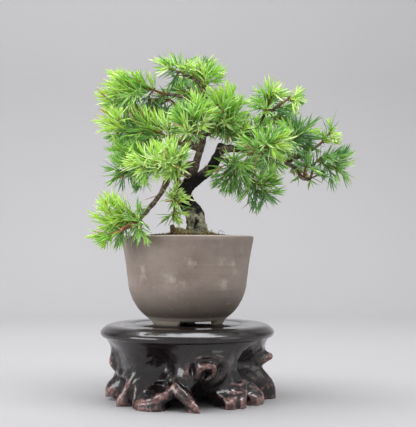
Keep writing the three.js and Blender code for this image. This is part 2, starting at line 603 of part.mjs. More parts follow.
// Grows one mass by its seeded rule: a stem from the limb, twigs spread evenly through its space,
// needles along the outer part of each.
function massSolid(mass) {
  const random = seeded(mass.seed);
  const path = limbPaths[mass.on];
  const start = vec(mass.root ?? path[path.length - 1]);
  const via = vec(mass.stem[0]);
  const end = vec(mass.stem[1]);
  const tree = { mass, random, points: [], faces: [], grown: [] };
  const heading = via.clone().sub(start).normalize();
  const side = new THREE.Vector3(0, 1, 0).cross(heading).normalize();
  const up = heading.clone().cross(side);
  const corner = (p, k) => p.clone()
    .addScaledVector(side, TWIG_RADIUS * Math.cos((k * PI2) / 3))
    .addScaledVector(up, TWIG_RADIUS * Math.sin((k * PI2) / 3));
  const ringAt = (p) => [0, 1, 2].map((k) => tree.points.push(corner(p, k)) - 1);
  if (mass.root) {
    while ([0, 1, 2].some((k) => !clearOfLimbs(corner(start, k), CLEAR))) start.addScaledVector(heading, 0.05);
  } else {
    const tilt = vec(path[path.length - 1]).sub(vec(path[path.length - 2])).angleTo(heading);
    start.addScaledVector(heading, (CLEAR + 0.06 + TWIG_RADIUS * Math.sin(tilt)) / Math.cos(tilt));
  }
  const base = ringAt(start);
  tree.faces.push(base[0], base[2], base[1]);
  const knee = ringAt(via);
  for (let k = 0; k < 3; k++) {
    const next = (k + 1) % 3;
    tree.faces.push(base[k], base[next], knee[next], base[k], knee[next], knee[k]);
  }
  const stem = addTwig(tree, knee, via, end, 0.12);
  tree.grown.push({ from: via, to: end, apart: 2, own: stem.twig });
  const parts = [stem];
  const spin = random() * PI2;
  for (let i = 0; i < mass.twigs; i++) {
    const rise = 1 - (2 * (i + 0.5)) / mass.twigs;
    const round = i * 2.39996 + spin;
    const flat = Math.sqrt(1 - rise * rise);
    const out = new THREE.Vector3(flat * Math.cos(round), flat * Math.sin(round), rise);
    const edge = 1 / Math.hypot(out.x / mass.size[0], out.y / mass.size[1], out.z / mass.size[2]);
    const reach = Math.max(edge - NEEDLE_LENGTH * (0.62 + 0.2 * random()), edge * 0.3);
    for (const share of [1, 0.8, 0.62]) {
      const target = vec(mass.at).addScaledVector(out, reach * share);
      const face = bestFace(stem.open, target);
      if (!face || face.root.distanceTo(target) < 3) continue;
      if (!fits(mass, face.root, target, TWIG_RADIUS, 1)) continue;
      if (tree.grown.some((other) => other.own !== stem.twig && tooNear(face.root, target, other))) continue;
      face.used = true;
      const part = addTwig(tree, face.corners, face.root, target, 0.25);
      tree.grown.push({ from: face.root, to: target, apart: 2.3, own: part.twig });
      parts.push(part);
      break;
    }
  }
  for (const part of parts.slice(1)) needleRound(tree, part, NEEDLE_SHARE);
  needleRound(tree, stem, NEEDLE_SHARE);
  const mesh = new Mesh({
    numProp: 3,
    vertProperties: new Float32Array(tree.points.flatMap((p) => p.toArray())),
    triVerts: new Uint32Array(tree.faces),
  });
  return { solid: new Manifold(mesh), count: tree.grown.length - parts.length };
}

// The free face of a stem that looks towards a target and lies nearest to it.
function bestFace(open, target) {
  let best = null;
  for (const face of open) {
    if (face.used) continue;
    const way = target.clone().sub(face.root);
    const distance = way.length();
    const facing = way.dot(face.out) / distance;
    if (facing < 0.28) continue;
    const cost = distance * (1.6 - facing);
    if (!best || cost < best.cost) best = { face, cost };
  }
  return best && best.face;
}

const MATERIALS = {
  bark: new THREE.MeshStandardMaterial({ name: "bark", color: 0x2b2624, roughness: 0.9 }),
  needles: new THREE.MeshStandardMaterial({ name: "needles", color: 0x62a838, roughness: 0.55 }),
  clay: new THREE.MeshStandardMaterial({ name: "clay", color: 0x7d736c, roughness: 0.85 }),
  soil: new THREE.MeshStandardMaterial({ name: "soil", color: 0x4a3b2c, roughness: 1 }),
  lacquer: new THREE.MeshStandardMaterial({ name: "lacquer", color: 0x2a1714, roughness: 0.3 }),
};

const group = new THREE.Group();
group.name = "needle_juniper_bonsai";

function add(name, solid, material, tolerance = 0.01) {
  const clean = solid.simplify(tolerance);
  const mesh = clean.getMesh();
  const geometry = new THREE.BufferGeometry();
  geometry.setAttribute("position", new THREE.BufferAttribute(new Float32Array(mesh.vertProperties), 3));
  geometry.setIndex(new THREE.BufferAttribute(new Uint32Array(mesh.triVerts), 1));
  const node = new THREE.Mesh(geometry, material);
  node.name = name;
  node.geometry.computeBoundingBox();
  group.add(node);
  return clean;
}

add("stand", standSolid(), MATERIALS.lacquer, 0.06);
add("pot", potSolid(), MATERIALS.clay);
add("soil", soilSolid(), MATERIALS.soil);

// Each bough is cut clear of every limb made before it.
const trunk = trunkSolid();
add("trunk", trunk, MATERIALS.bark);
let taken = limb(TRUNK, 12, CLEAR);
for (const [name, path] of Object.entries(BOUGHS)) {
  const sides = path[0][3] > 2 ? 7 : 6;
  const solid = largest(limb(path, sides).subtract(taken));
  add(name, solid, MATERIALS.bark, 0.03);
  taken = taken.add(limb(path, sides, CLEAR));
}

for (const mass of massList) {
  const { solid, count } = massSolid(mass);
  add("mass_" + mass.name, solid, MATERIALS.needles, 0.1);
  group.children.at(-1).userData.needles = count;
}

// The box's bottom centre becomes the origin.
const box = new THREE.Box3().setFromObject(group);
const middle = box.getCenter(new THREE.Vector3());
for (const node of group.children) node.geometry.translate(-middle.x, -middle.y, -box.min.z);

export default group;
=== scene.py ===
import math

import bmesh
import bpy
import numpy as np
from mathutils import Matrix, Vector, noise


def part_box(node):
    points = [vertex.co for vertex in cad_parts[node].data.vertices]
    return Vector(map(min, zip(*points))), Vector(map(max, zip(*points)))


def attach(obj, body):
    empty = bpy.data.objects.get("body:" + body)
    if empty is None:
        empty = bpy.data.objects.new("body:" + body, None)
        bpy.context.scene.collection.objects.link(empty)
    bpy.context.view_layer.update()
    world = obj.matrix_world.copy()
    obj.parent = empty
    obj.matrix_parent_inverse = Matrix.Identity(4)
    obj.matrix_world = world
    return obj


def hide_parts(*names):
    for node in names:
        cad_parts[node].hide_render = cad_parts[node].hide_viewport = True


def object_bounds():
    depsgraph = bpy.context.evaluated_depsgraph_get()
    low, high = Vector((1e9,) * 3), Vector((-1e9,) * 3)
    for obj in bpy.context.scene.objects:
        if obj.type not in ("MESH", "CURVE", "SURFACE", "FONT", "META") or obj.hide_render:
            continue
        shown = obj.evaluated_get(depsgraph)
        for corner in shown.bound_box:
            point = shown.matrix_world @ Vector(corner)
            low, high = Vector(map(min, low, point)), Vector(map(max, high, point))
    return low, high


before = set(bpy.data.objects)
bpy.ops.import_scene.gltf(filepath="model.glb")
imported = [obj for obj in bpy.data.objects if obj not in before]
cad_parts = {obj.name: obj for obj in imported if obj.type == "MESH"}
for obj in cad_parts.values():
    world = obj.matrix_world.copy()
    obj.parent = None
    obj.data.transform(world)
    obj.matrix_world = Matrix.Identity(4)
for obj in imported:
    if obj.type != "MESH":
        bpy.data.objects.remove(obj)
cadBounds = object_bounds()
potLow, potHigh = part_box("pot")
potAxis = np.array([(potLow.x + potHigh.x) / 2, (potLow.y + potHigh.y) / 2, 0.0])
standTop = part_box("stand")[1].z * 1000
potRim = potHigh.z * 1000
rimRadius = (potHigh.x - potLow.x) * 500
noise.seed_set(5) # without a seed, noise_vector differs from run to run
print("frame loaded, pot rim", round(rimRadius, 1), "mm at", round(potRim, 1), "mm")


def toFrame(points):
    return np.asarray(points, float).reshape(-1, 3) * 0.001 + potAxis


# An object from points and sets of faces, each set all triangles or all quads.
def newObject(name, points, *faceSets):
    mesh = bpy.data.meshes.new(name)
    points = np.asarray(points, np.float32).reshape(-1, 3)
    sets = [np.asarray(faces, np.int32) for faces in faceSets if len(faces)]
    corners = np.concatenate([faces.ravel() for faces in sets])
    sizes = np.concatenate([np.full(len(faces), faces.shape[1], np.int32) for faces in sets])
    mesh.vertices.add(len(points))
    mesh.vertices.foreach_set("co", points.ravel())
    mesh.loops.add(len(corners))
    mesh.loops.foreach_set("vertex_index", corners)
    mesh.polygons.add(len(sizes))
    mesh.polygons.foreach_set("loop_start", (np.cumsum(sizes) - sizes).astype(np.int32))
    mesh.update(calc_edges=True)
    piece = bpy.data.objects.new(name, mesh)
    bpy.context.scene.collection.objects.link(piece)
    return piece


# The same few faces on many copies: the points are copies x corners x 3.
def copiesOf(name, points, *faceSets):
    shift = (np.arange(len(points)) * points.shape[1])[:, None, None]
    return newObject(name, points, *[(faces[None] + shift).reshape(-1, faces.shape[1]) for faces in faceSets])


# Where a piece's vertices are, or with "normal" which way they face.
def vertices(piece, what="co"):
    found = np.empty(len(piece.data.vertices) * 3, np.float32)
    piece.data.vertices.foreach_get(what, found)
    return found.reshape(-1, 3).astype(float)


def moveTo(piece, points):
    piece.data.vertices.foreach_set("co", np.asarray(points, np.float32).ravel())
    piece.data.update()


# Runs one modifier on a piece and keeps its result.
def apply(piece, kind, **settings):
    modifier = piece.modifiers.new(kind.lower(), kind)
    for key, value in settings.items():
        setattr(modifier, key, value)
    made = bpy.data.meshes.new_from_object(piece.evaluated_get(bpy.context.evaluated_depsgraph_get()))
    piece.modifiers.clear()
    old, piece.data = piece.data, made
    bpy.data.meshes.remove(old)


# One object of several closed shells, each its points, quads and triangles.
def gathered(name, shells):
    points, quads, triangles = zip(*shells)
    starts = np.cumsum([0] + [len(part) for part in points])
    faceSets = [np.concatenate([faces + start for faces, start in zip(part, starts)]) for part in (quads, triangles)]
    return newObject(name, np.concatenate(points), *faceSets)


# Adds shells to a piece, or cuts them out of it.
def combine(piece, shells, operation, **settings):
    tool = gathered("tool", shells)
    apply(piece, "BOOLEAN", operation=operation, solver="EXACT", object=tool, **settings)
    bpy.data.objects.remove(tool)


def addFloats(piece, name, values):
    attribute = piece.data.attributes.new(name, "FLOAT", "POINT")
    attribute.data.foreach_set("value", np.asarray(values, np.float32))


# Puts a finished piece into the part: its place and body, and hides the solids that it stands for.
# "dealt" says which of the materials each face takes.
def settle(piece, materials, stands=(), smooth=True, dealt=None):
    moveTo(piece, toFrame(vertices(piece)))
    piece.data.polygons.foreach_set("use_smooth", [smooth] * len(piece.data.polygons))
    for material in materials:
        piece.data.materials.append(material)
    if dealt is not None:
        piece.data.polygons.foreach_set("material_index", np.asarray(dealt, np.int32))
    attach(piece, "root")
    if stands:
        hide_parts(*stands)


def unit(vectors):
    vectors = np.asarray(vectors, float)
    return vectors / np.maximum(np.linalg.norm(vectors, axis=-1, keepdims=True), 1e-9)


# The direction at each sample of a path.
def alongOf(path):
    return unit(np.gradient(path[:, :3], axis=0))


# A direction turned square to another.
def squared(side, way):
    return unit(side - way * np.dot(side, way))


# A smooth path through points of any columns, with a sample about every step.
def smoothPath(points, step):
    points = np.asarray(points, float)
    chords = np.linalg.norm(np.diff(points[:, :3], axis=0), axis=1)
    reach = np.concatenate([[0], np.cumsum(chords)])
    slopes = np.gradient(points, reach, axis=0)
    count = max(int(reach[-1] / step), 2)
    samples = np.linspace(0, reach[-1], count + 1)
    which = np.clip(np.searchsorted(reach, samples, side="right") - 1, 0, len(points) - 2)
    span = chords[which][:, None]
    t = ((samples - reach[which]) / chords[which])[:, None]
    start, end = points[which], points[which + 1]
    return ((2 * t**3 - 3 * t**2 + 1) * start + (t**3 - 2 * t**2 + t) * span * slopes[which]
            + (3 * t**2 - 2 * t**3) * end + (t**3 - t**2) * span * slopes[which + 1])


def fullTurn(sides):
    return np.arange(sides) / sides * 2 * math.pi


def aroundAxis(turn, radius, height):
    return np.stack(np.broadcast_arrays(radius * np.cos(turn), radius * np.sin(turn), height), -1)


# A closed shell over rings from bottom to top, with a middle point at each end.
def ringed(rings):
    levels, sides = rings.shape[:2]
    points = np.concatenate([rings.reshape(-1, 3), rings[0].mean(0)[None], rings[-1].mean(0)[None]])
    level = np.arange(levels - 1)[:, None] * sides
    around = np.arange(sides)
    following = (around + 1) % sides
    quads = np.stack([level + around, level + following, level + sides + following, level + sides + around], -1)
    last = (levels - 1) * sides
    foot = np.stack([np.full(sides, levels * sides), following, around], -1)
    tip = np.stack([np.full(sides, levels * sides + 1), last + around, last + following], -1)
    return points, quads.reshape(-1, 4), np.concatenate([foot, tip])


# A full turn of radius and height pairs that starts and ends on the axis.
def turned(profile, sides):
    profile = np.asarray(profile, float)
    return ringed(aroundAxis(fullTurn(sides), profile[:, :1], profile[:, 1:]))


# A closed round limb along points of x, y, z, radius.
def tube(path, sides):
    along = alongOf(path)
    side = np.cross([0.13, 0.97, 0.2], along[0]) # a first direction that no limb here runs along
    turns = fullTurn(sides)
    rings = []
    for sample, way in zip(path, along):
        side = squared(side, way)
        up = np.cross(way, side)
        rings.append(sample[:3] + sample[3] * (np.outer(np.cos(turns), side) + np.outer(np.sin(turns), up)))
    return ringed(np.array(rings))


# A path with a few smaller samples past its end, each a distance and a size in shares of the last radius.
def roundedEnd(path, steps):
    way = unit(path[-1, :3] - path[-2, :3])
    return np.vstack([path, [np.append(path[-1, :3] + way * path[-1, 3] * out, path[-1, 3] * size)
                             for out, size in steps]])


def linear(hexColour):
    channels = [int(hexColour[i:i + 2], 16) / 255 for i in (1, 3, 5)]
    return [c / 12.92 if c < 0.04045 else ((c + 0.055) / 1.055) ** 2.4 for c in channels] + [1]


# Adds one node: its settings, and its inputs as values, sockets or nodes, whose first output is linked.
def addNode(tree, kind, inputs=None, stops=(), **settings):
    node = tree.nodes.new("ShaderNode" + kind)
    for key, value in settings.items():
        setattr(node, key, value)
    for key, value in (inputs or {}).items():
        if isinstance(value, bpy.types.Node):
            value = value.outputs[0]
        if isinstance(value, bpy.types.NodeSocket):
            tree.links.new(value, node.inputs[key])
        else:
            node.inputs[key].default_value = value
    for k, (place, colour) in enumerate(stops):
        element = node.color_ramp.elements[k] if k < 2 else node.color_ramp.elements.new(place)
        element.position = place
        element.color = linear(colour)
    return node


# A material with its shader's plain sockets set, and the place in the part's own metres.
def newMaterial(name, **sockets):
    material = bpy.data.materials.new(name)
    material.use_nodes = True
    tree = material.node_tree
    for key, value in sockets.items():
        tree.nodes["Principled BSDF"].inputs[key.replace("_", " ")].default_value = value
    return material, tree, addNode(tree, "TexCoord").outputs["Object"]


# Links the patterns that are ready to the shader's sockets.
def finished(material, **patterns):
    tree = material.node_tree
    for key, pattern in patterns.items():
        socket = pattern.outputs[0] if isinstance(pattern, bpy.types.Node) else pattern
        tree.links.new(socket, tree.nodes["Principled BSDF"].inputs[key.replace("_", " ")])
    return material


def perMetre(sizeMm):
    return 1000 / sizeMm # the scale of a pattern whose features are this large


# Old juniper bark: plates that lift and weather, near black in the cracks. Young limbs are grey-brown,
# the end of the lowest bough still has its rusty skin, and pale lichen grows by the soil.
def weatheredBark():
    material, tree, place = newMaterial("weathered_juniper_bark", Roughness=0.88, IOR=1.45)
    patches = addNode(tree, "TexNoise", {"Vector": place, "Scale": perMetre(2.6), "Detail": 5, "Roughness": 0.55})
    plate = addNode(tree, "Attribute", attribute_name="plate").outputs["Fac"]
    colour = addNode(tree, "ValToRGB", {"Fac": plate},
                     [(0, "#0d0b0a"), (0.45, "#1f1a18"), (0.8, "#36302b"), (1, "#544b43")])
    for name, tones in (("young", [(0.3, "#4d3a2c"), (0.5, "#857060"), (0.7, "#b3a597")]),
                        ("rusty", [(0.3, "#5e3726"), (0.5, "#9c6346"), (0.7, "#c4977b")]),
                        ("lichen", [(0.34, "#6b6856"), (0.5, "#aba88e"), (0.66, "#d8d4be")])):
        share = addNode(tree, "Attribute", attribute_name=name).outputs["Fac"]
        tone = addNode(tree, "ValToRGB", {"Fac": patches}, tones)
        colour = addNode(tree, "Mix", {0: share, 6: colour, 7: tone}, data_type="RGBA").outputs[2]
    along = addNode(tree, "Mapping", {"Vector": place, "Scale": (1, 1, 0.45)}) # fibres run up the trunk
    fibres = addNode(tree, "TexNoise", {"Vector": along, "Scale": perMetre(0.7), "Detail": 6, "Roughness": 0.55})
    bump = addNode(tree, "Bump", {"Height": fibres, "Distance": 0.00022})
    return finished(material, Base_Color=colour, Normal=bump)


# Young shoots: smooth skin, ridged under each needle, from yellow-green to orange-brown.
def youngShootSkin(name, dark, pale):
    material, tree, place = newMaterial(name, Roughness=0.65, IOR=1.45)
    patches = addNode(tree, "TexNoise", {"Vector": place, "Scale": perMetre(1.8), "Detail": 3, "Roughness": 0.55})
    colour = addNode(tree, "ValToRGB", {"Fac": patches}, [(0.35, dark), (0.68, pale)])
    ridges = addNode(tree, "TexNoise", {"Vector": place, "Scale": perMetre(0.5), "Detail": 4, "Roughness": 0.55})
    bump = addNode(tree, "Bump", {"Height": ridges, "Distance": 0.0001})
    return finished(material, Base_Color=colour, Normal=bump)


# Needle skin: waxy, a little translucent. Each spray takes one of these plain greens.
def needleSkin(name, colour, roughness=0.38):
    return newMaterial(name, Base_Color=linear(colour), Roughness=roughness, IOR=1.45, Subsurface_Weight=0.15,
                       Subsurface_Radius=(0.6, 1.0, 0.25), Subsurface_Scale=0.0006)[0]


# Unglazed stoneware, thrown on a wheel: sandy grey-brown, lime bloom and fine turning lines. It is dusty.
clay = {
    # bands of other tones: from and to above the table, and the tone. The dark band is partly the clay's darker lower
    # tone and partly painted shade under the belly, the pale band below keeps the feet out of it, and the pale rim line
    # is partly wear and partly a painted highlight
    "bands": [(standTop + 26, standTop + 7, "#574e45"), (standTop + 6.2, standTop + 4.6, "#978e81"),
              (potRim - 1.1, potRim - 0.2, "#a99f92")],
    "bloom": "#b0a797", "sand": "#5d534a",
    # clear lime stains on the front of the wall: across, height and size
    "stains": [(-28.7, 84, 7), (-28.6, 89, 5), (-9.5, 81, 7), (29.3, 91.2, 4), (31.9, 84.7, 6), (24.8, 79, 4),
               (4, 92, 6), (22, 93, 7)],
    "stainRadius": 41.5, "stainStrength": 0.24,
}


def unglazedClay():
    material, tree, place = newMaterial("unglazed_thrown_clay", Roughness=0.72, IOR=1.48, Sheen_Weight=0.12,
                                        Sheen_Roughness=0.35)
    height = addNode(tree, "SeparateXYZ", {"Vector": place}).outputs["Z"]
    cloud = addNode(tree, "TexNoise", {"Vector": place, "Scale": perMetre(26), "Detail": 5, "Roughness": 0.6})
    colour = addNode(tree, "ValToRGB", {"Fac": cloud}, [(0.3, "#796c63"), (0.5, "#8b7e75"), (0.7, "#998c82")])
    layers = []
    # besides the clay's own tones, these bands paint shade under the belly and a highlight on the rim
    for low, high, tone in clay["bands"]:
        inputs = {"Value": height, "From Min": low * 0.001, "From Max": high * 0.001}
        layers.append((addNode(tree, "MapRange", inputs), tone))
    bloom = addNode(tree, "TexNoise", {"Vector": place, "Scale": perMetre(9), "Detail": 7, "Roughness": 0.68})
    for across, level, reach in clay["stains"]:
        spot = toFrame([across, -math.sqrt(clay["stainRadius"] ** 2 - across ** 2), level])[0]
        away = addNode(tree, "VectorMath", {0: place, 1: spot}, operation="DISTANCE").outputs["Value"]
        near = addNode(tree, "MapRange", {"Value": away, "From Min": reach * 0.001, "From Max": 0,
                                          "To Max": clay["stainStrength"]})
        bloom = addNode(tree, "Math", {0: bloom, 1: near}, operation="ADD")
    sand = addNode(tree, "TexNoise", {"Vector": place, "Scale": perMetre(0.8), "Detail": 3, "Roughness": 0.55})
    for spots, least, most, tone in ((bloom, 0.6, 0.7, clay["bloom"]), (sand, 0.62, 0.5, clay["sand"])):
        inputs = {"Value": spots, "From Min": least, "From Max": 0.78, "To Max": most}
        layers.append((addNode(tree, "MapRange", inputs), tone))
    for share, tone in layers:
        colour = addNode(tree, "Mix", {0: share, 6: colour, 7: linear(tone)}, data_type="RGBA").outputs[2]
    dull = addNode(tree, "MapRange", {"Value": cloud, "From Min": 0.3, "From Max": 0.7, "To Min": 0.62, "To Max": 0.8})
    # The turning lines lie 1.3 mm apart: a wave at scale 1 repeats every pi / 10 metres.
    lines = addNode(tree, "TexWave", {"Vector": place, "Scale": perMetre(1.3) * math.pi / 10, "Distortion": 1.5,
                                      "Detail": 3, "Detail Scale": 0.4}, bands_direction="Z").outputs["Fac"]
    turning = addNode(tree, "Bump", {"Height": lines, "Distance": 0.00005, "Strength": 0.6})
    grains = addNode(tree, "TexNoise", {"Vector": place, "Scale": perMetre(0.6), "Detail": 5, "Roughness": 0.55})
    bump = addNode(tree, "Bump", {"Height": grains, "Distance": 0.00008, "Strength": 0.8, "Normal": turning})
    return finished(material, Base_Color=colour, Roughness=dull, Normal=bump)


# Hardwood carved as roots and lacquered black-brown: deep gloss, rubbed through to copper on the crests. The copper's
# palest tone there is a painted highlight.
def lacqueredRootwood():
    material, tree, place = newMaterial("lacquered_rootwood", Roughness=0.34, IOR=1.5, Specular_IOR_Level=0.15,
                                        Coat_Weight=0.86, Coat_Roughness=0.13, Coat_IOR=1.6)
    wearAndHighlight = addNode(tree, "Attribute", attribute_name="wearAndHighlight").outputs["Fac"]
    cloud = addNode(tree, "TexNoise", {"Vector": place, "Scale": perMetre(7), "Detail": 6, "Roughness": 0.55})
    dark = addNode(tree, "ValToRGB", {"Fac": cloud}, [(0.3, "#0a0607"), (0.55, "#150e0f"), (0.72, "#2b1b19")])
    # copper where the lacquer is rubbed through, up to a pale pink that is painted highlight
    copperAndHighlight = addNode(tree, "TexNoise", {"Vector": place, "Scale": perMetre(2.4), "Detail": 6, "Roughness": 0.6})
    bareWoodAndHighlight = addNode(tree, "ValToRGB", {"Fac": copperAndHighlight}, [(0.32, "#35201d"), (0.5, "#70504a"), (0.68, "#b4948f")])
    speckle = addNode(tree, "TexNoise", {"Vector": place, "Scale": perMetre(2), "Detail": 6, "Roughness": 0.6})
    rubAndHighlight = addNode(tree, "Math", {0: wearAndHighlight, 1: speckle}, operation="MULTIPLY")
    rubAndHighlight = addNode(tree, "MapRange", {"Value": rubAndHighlight, "From Min": 0.1, "From Max": 0.46})
    colour = addNode(tree, "Mix", {0: rubAndHighlight, 6: dark, 7: bareWoodAndHighlight}, data_type="RGBA").outputs[2]
    dull = addNode(tree, "MapRange", {"Value": rubAndHighlight, "To Min": 0.3, "To Max": 0.46})
    # chisel marks 3 mm wide, then the wood's pores, drawn 1 mm wide so that they show
    along = addNode(tree, "Mapping", {"Vector": place, "Scale": (1, 1, 0.5)})
    marks = addNode(tree, "TexNoise", {"Vector": along, "Scale": perMetre(3), "Detail": 3, "Roughness": 0.55})
    chisel = addNode(tree, "Bump", {"Height": marks, "Distance": 0.0002, "Strength": 0.6})
    pores = addNode(tree, "TexNoise", {"Vector": place, "Scale": perMetre(1), "Detail": 5, "Roughness": 0.55})
    bump = addNode(tree, "Bump", {"Height": pores, "Distance": 0.00008, "Strength": 0.8, "Normal": chisel})
    return finished(material, Base_Color=colour, Roughness=dull, Normal=bump)


# Potting soil and its porous grit of fired earth: crumbs, dark where damp.
def earth(name, crumbMm, depthMm, *tones):
    material, tree, place = newMaterial(name, Roughness=0.94, IOR=1.4)
    crumbs = addNode(tree, "TexNoise", {"Vector": place, "Scale": perMetre(crumbMm), "Detail": 6, "Roughness": 0.65})
    colour = addNode(tree, "ValToRGB", {"Fac": crumbs}, list(zip((0.3, 0.5, 0.7), tones)))
    pits = addNode(tree, "TexNoise", {"Vector": place, "Scale": perMetre(0.8), "Detail": 6, "Roughness": 0.55})
    bump = addNode(tree, "Bump", {"Height": pits, "Distance": depthMm * 0.001})
    return finished(material, Base_Color=colour, Normal=bump)


def dryMoss(name, colour):
    return newMaterial(name, Base_Color=linear(colour), Roughness=0.85, IOR=1.4)[0]


# Camera: the photograph's frame, with the place and size that were measured in it.
view = {
    "imageWidth": 416, "imageHeight": 427, "axisX": 187.6, "horizonY": 254, # pixels
    "mmPerPixel": 0.685, # at the pot's axis
    "distance": 568.6, "height": 97.3, "sensorMm": 36,
}
cameraAside = (view["imageWidth"] / 2 - view["axisX"]) * view["mmPerPixel"]


def makeCamera():
    camera = bpy.data.cameras.new("camera")
    focal = view["distance"] / view["mmPerPixel"] # in pixels
    camera.sensor_width = view["sensorMm"]
    camera.lens = focal * view["sensorMm"] / max(view["imageWidth"], view["imageHeight"])
    camera.clip_start = 0.01
    camera.clip_end = 20
    rig = bpy.data.objects.new("camera", camera)
    bpy.context.scene.collection.objects.link(rig)
    rig.location = toFrame([cameraAside, -view["distance"], view["height"]])[0]
    pitch = math.atan((view["horizonY"] - view["imageHeight"] / 2) / focal)
    rig.rotation_euler = (math.pi / 2 + pitch, 0, 0)
    bpy.context.scene.camera = rig


# Studio: a pale sweep of card, a wide soft light above and three softer ones.
studio = {
    "card": "#a3a2a2", "cardShade": "#9f9e9e", "frontEdge": 3000, "bend": 700, "bendRadius": 450, "wall": 1900,
    "halfWidth": 4000,
    "air": "#eeeeed", "airStrength": 0.7,
    "lights": [
        # name, place, aim, size across and along, watts, colour
        ("topSoftbox", (-40, -100, 1250), (0, 0, 120), (1700, 640), 27, "#f9f9ff"),
        ("leftPanel", (-1450, -950, 420), (0, 0, 130), (1200, 760), 16, "#fcfbff"),
        ("rightPanel", (1500, -900, 700), (0, 0, 120), (900, 1100), 3.5, "#fffdf8"),
        ("wallWash", (200, 500, 1500), (200, 1150, 750), (1800, 300), 6.5, "#fbfcff"),
    ],
}


def makeStudio():
    bend = np.linspace(0, math.pi / 2, 24)
    run = np.concatenate([[-studio["frontEdge"], 0], studio["bend"] + studio["bendRadius"] * np.sin(bend),
                          [studio["bend"] + studio["bendRadius"]]])
    rise = np.concatenate([[0, 0], studio["bendRadius"] * (1 - np.cos(bend)), [studio["wall"]]])
    wide = studio["halfWidth"]
    points = np.array([(x, y, z) for y, z in zip(run, rise) for x in (-wide, wide)])
    level = np.arange(len(run) - 1) * 2
    sweep = newObject("studio_sweep", toFrame(points), np.stack([level, level + 1, level + 3, level + 2], -1))
    sweep.data.polygons.foreach_set("use_smooth", [True] * len(sweep.data.polygons))
    material, tree, place = newMaterial("seamless_card", Roughness=0.8, IOR=1.4)
    cloud = addNode(tree, "TexNoise", {"Vector": place, "Scale": perMetre(500), "Detail": 2})
    colour = addNode(tree, "ValToRGB", {"Fac": cloud}, [(0.2, studio["card"]), (0.8, studio["cardShade"])])
    sweep.data.materials.append(finished(material, Base_Color=colour))
    for name, place, aim, (across, along), watts, colour in studio["lights"]:
        light = bpy.data.lights.new(name, "AREA")
        light.shape = "RECTANGLE"
        light.size = across * 0.001
        light.size_y = along * 0.001
        light.energy = watts
        light.color = linear(colour)[:3]
        lamp = bpy.data.objects.new(name, light)
        bpy.context.scene.collection.objects.link(lamp)
        lamp.location = toFrame(place)[0]
        way = Vector(toFrame(aim)[0]) - lamp.location
        lamp.rotation_euler = way.to_track_quat("-Z", "Y").to_euler()
    world = bpy.data.worlds.new("studio_air")
    bpy.context.scene.world = world
    world.use_nodes = True
    air = world.node_tree.nodes["Background"]
    air.inputs["Color"].default_value = linear(studio["air"])
    air.inputs["Strength"].default_value = studio["airStrength"]
    bpy.context.scene.view_settings.view_transform = "Standard"


makeCamera()
makeStudio()
print("camera and studio made")


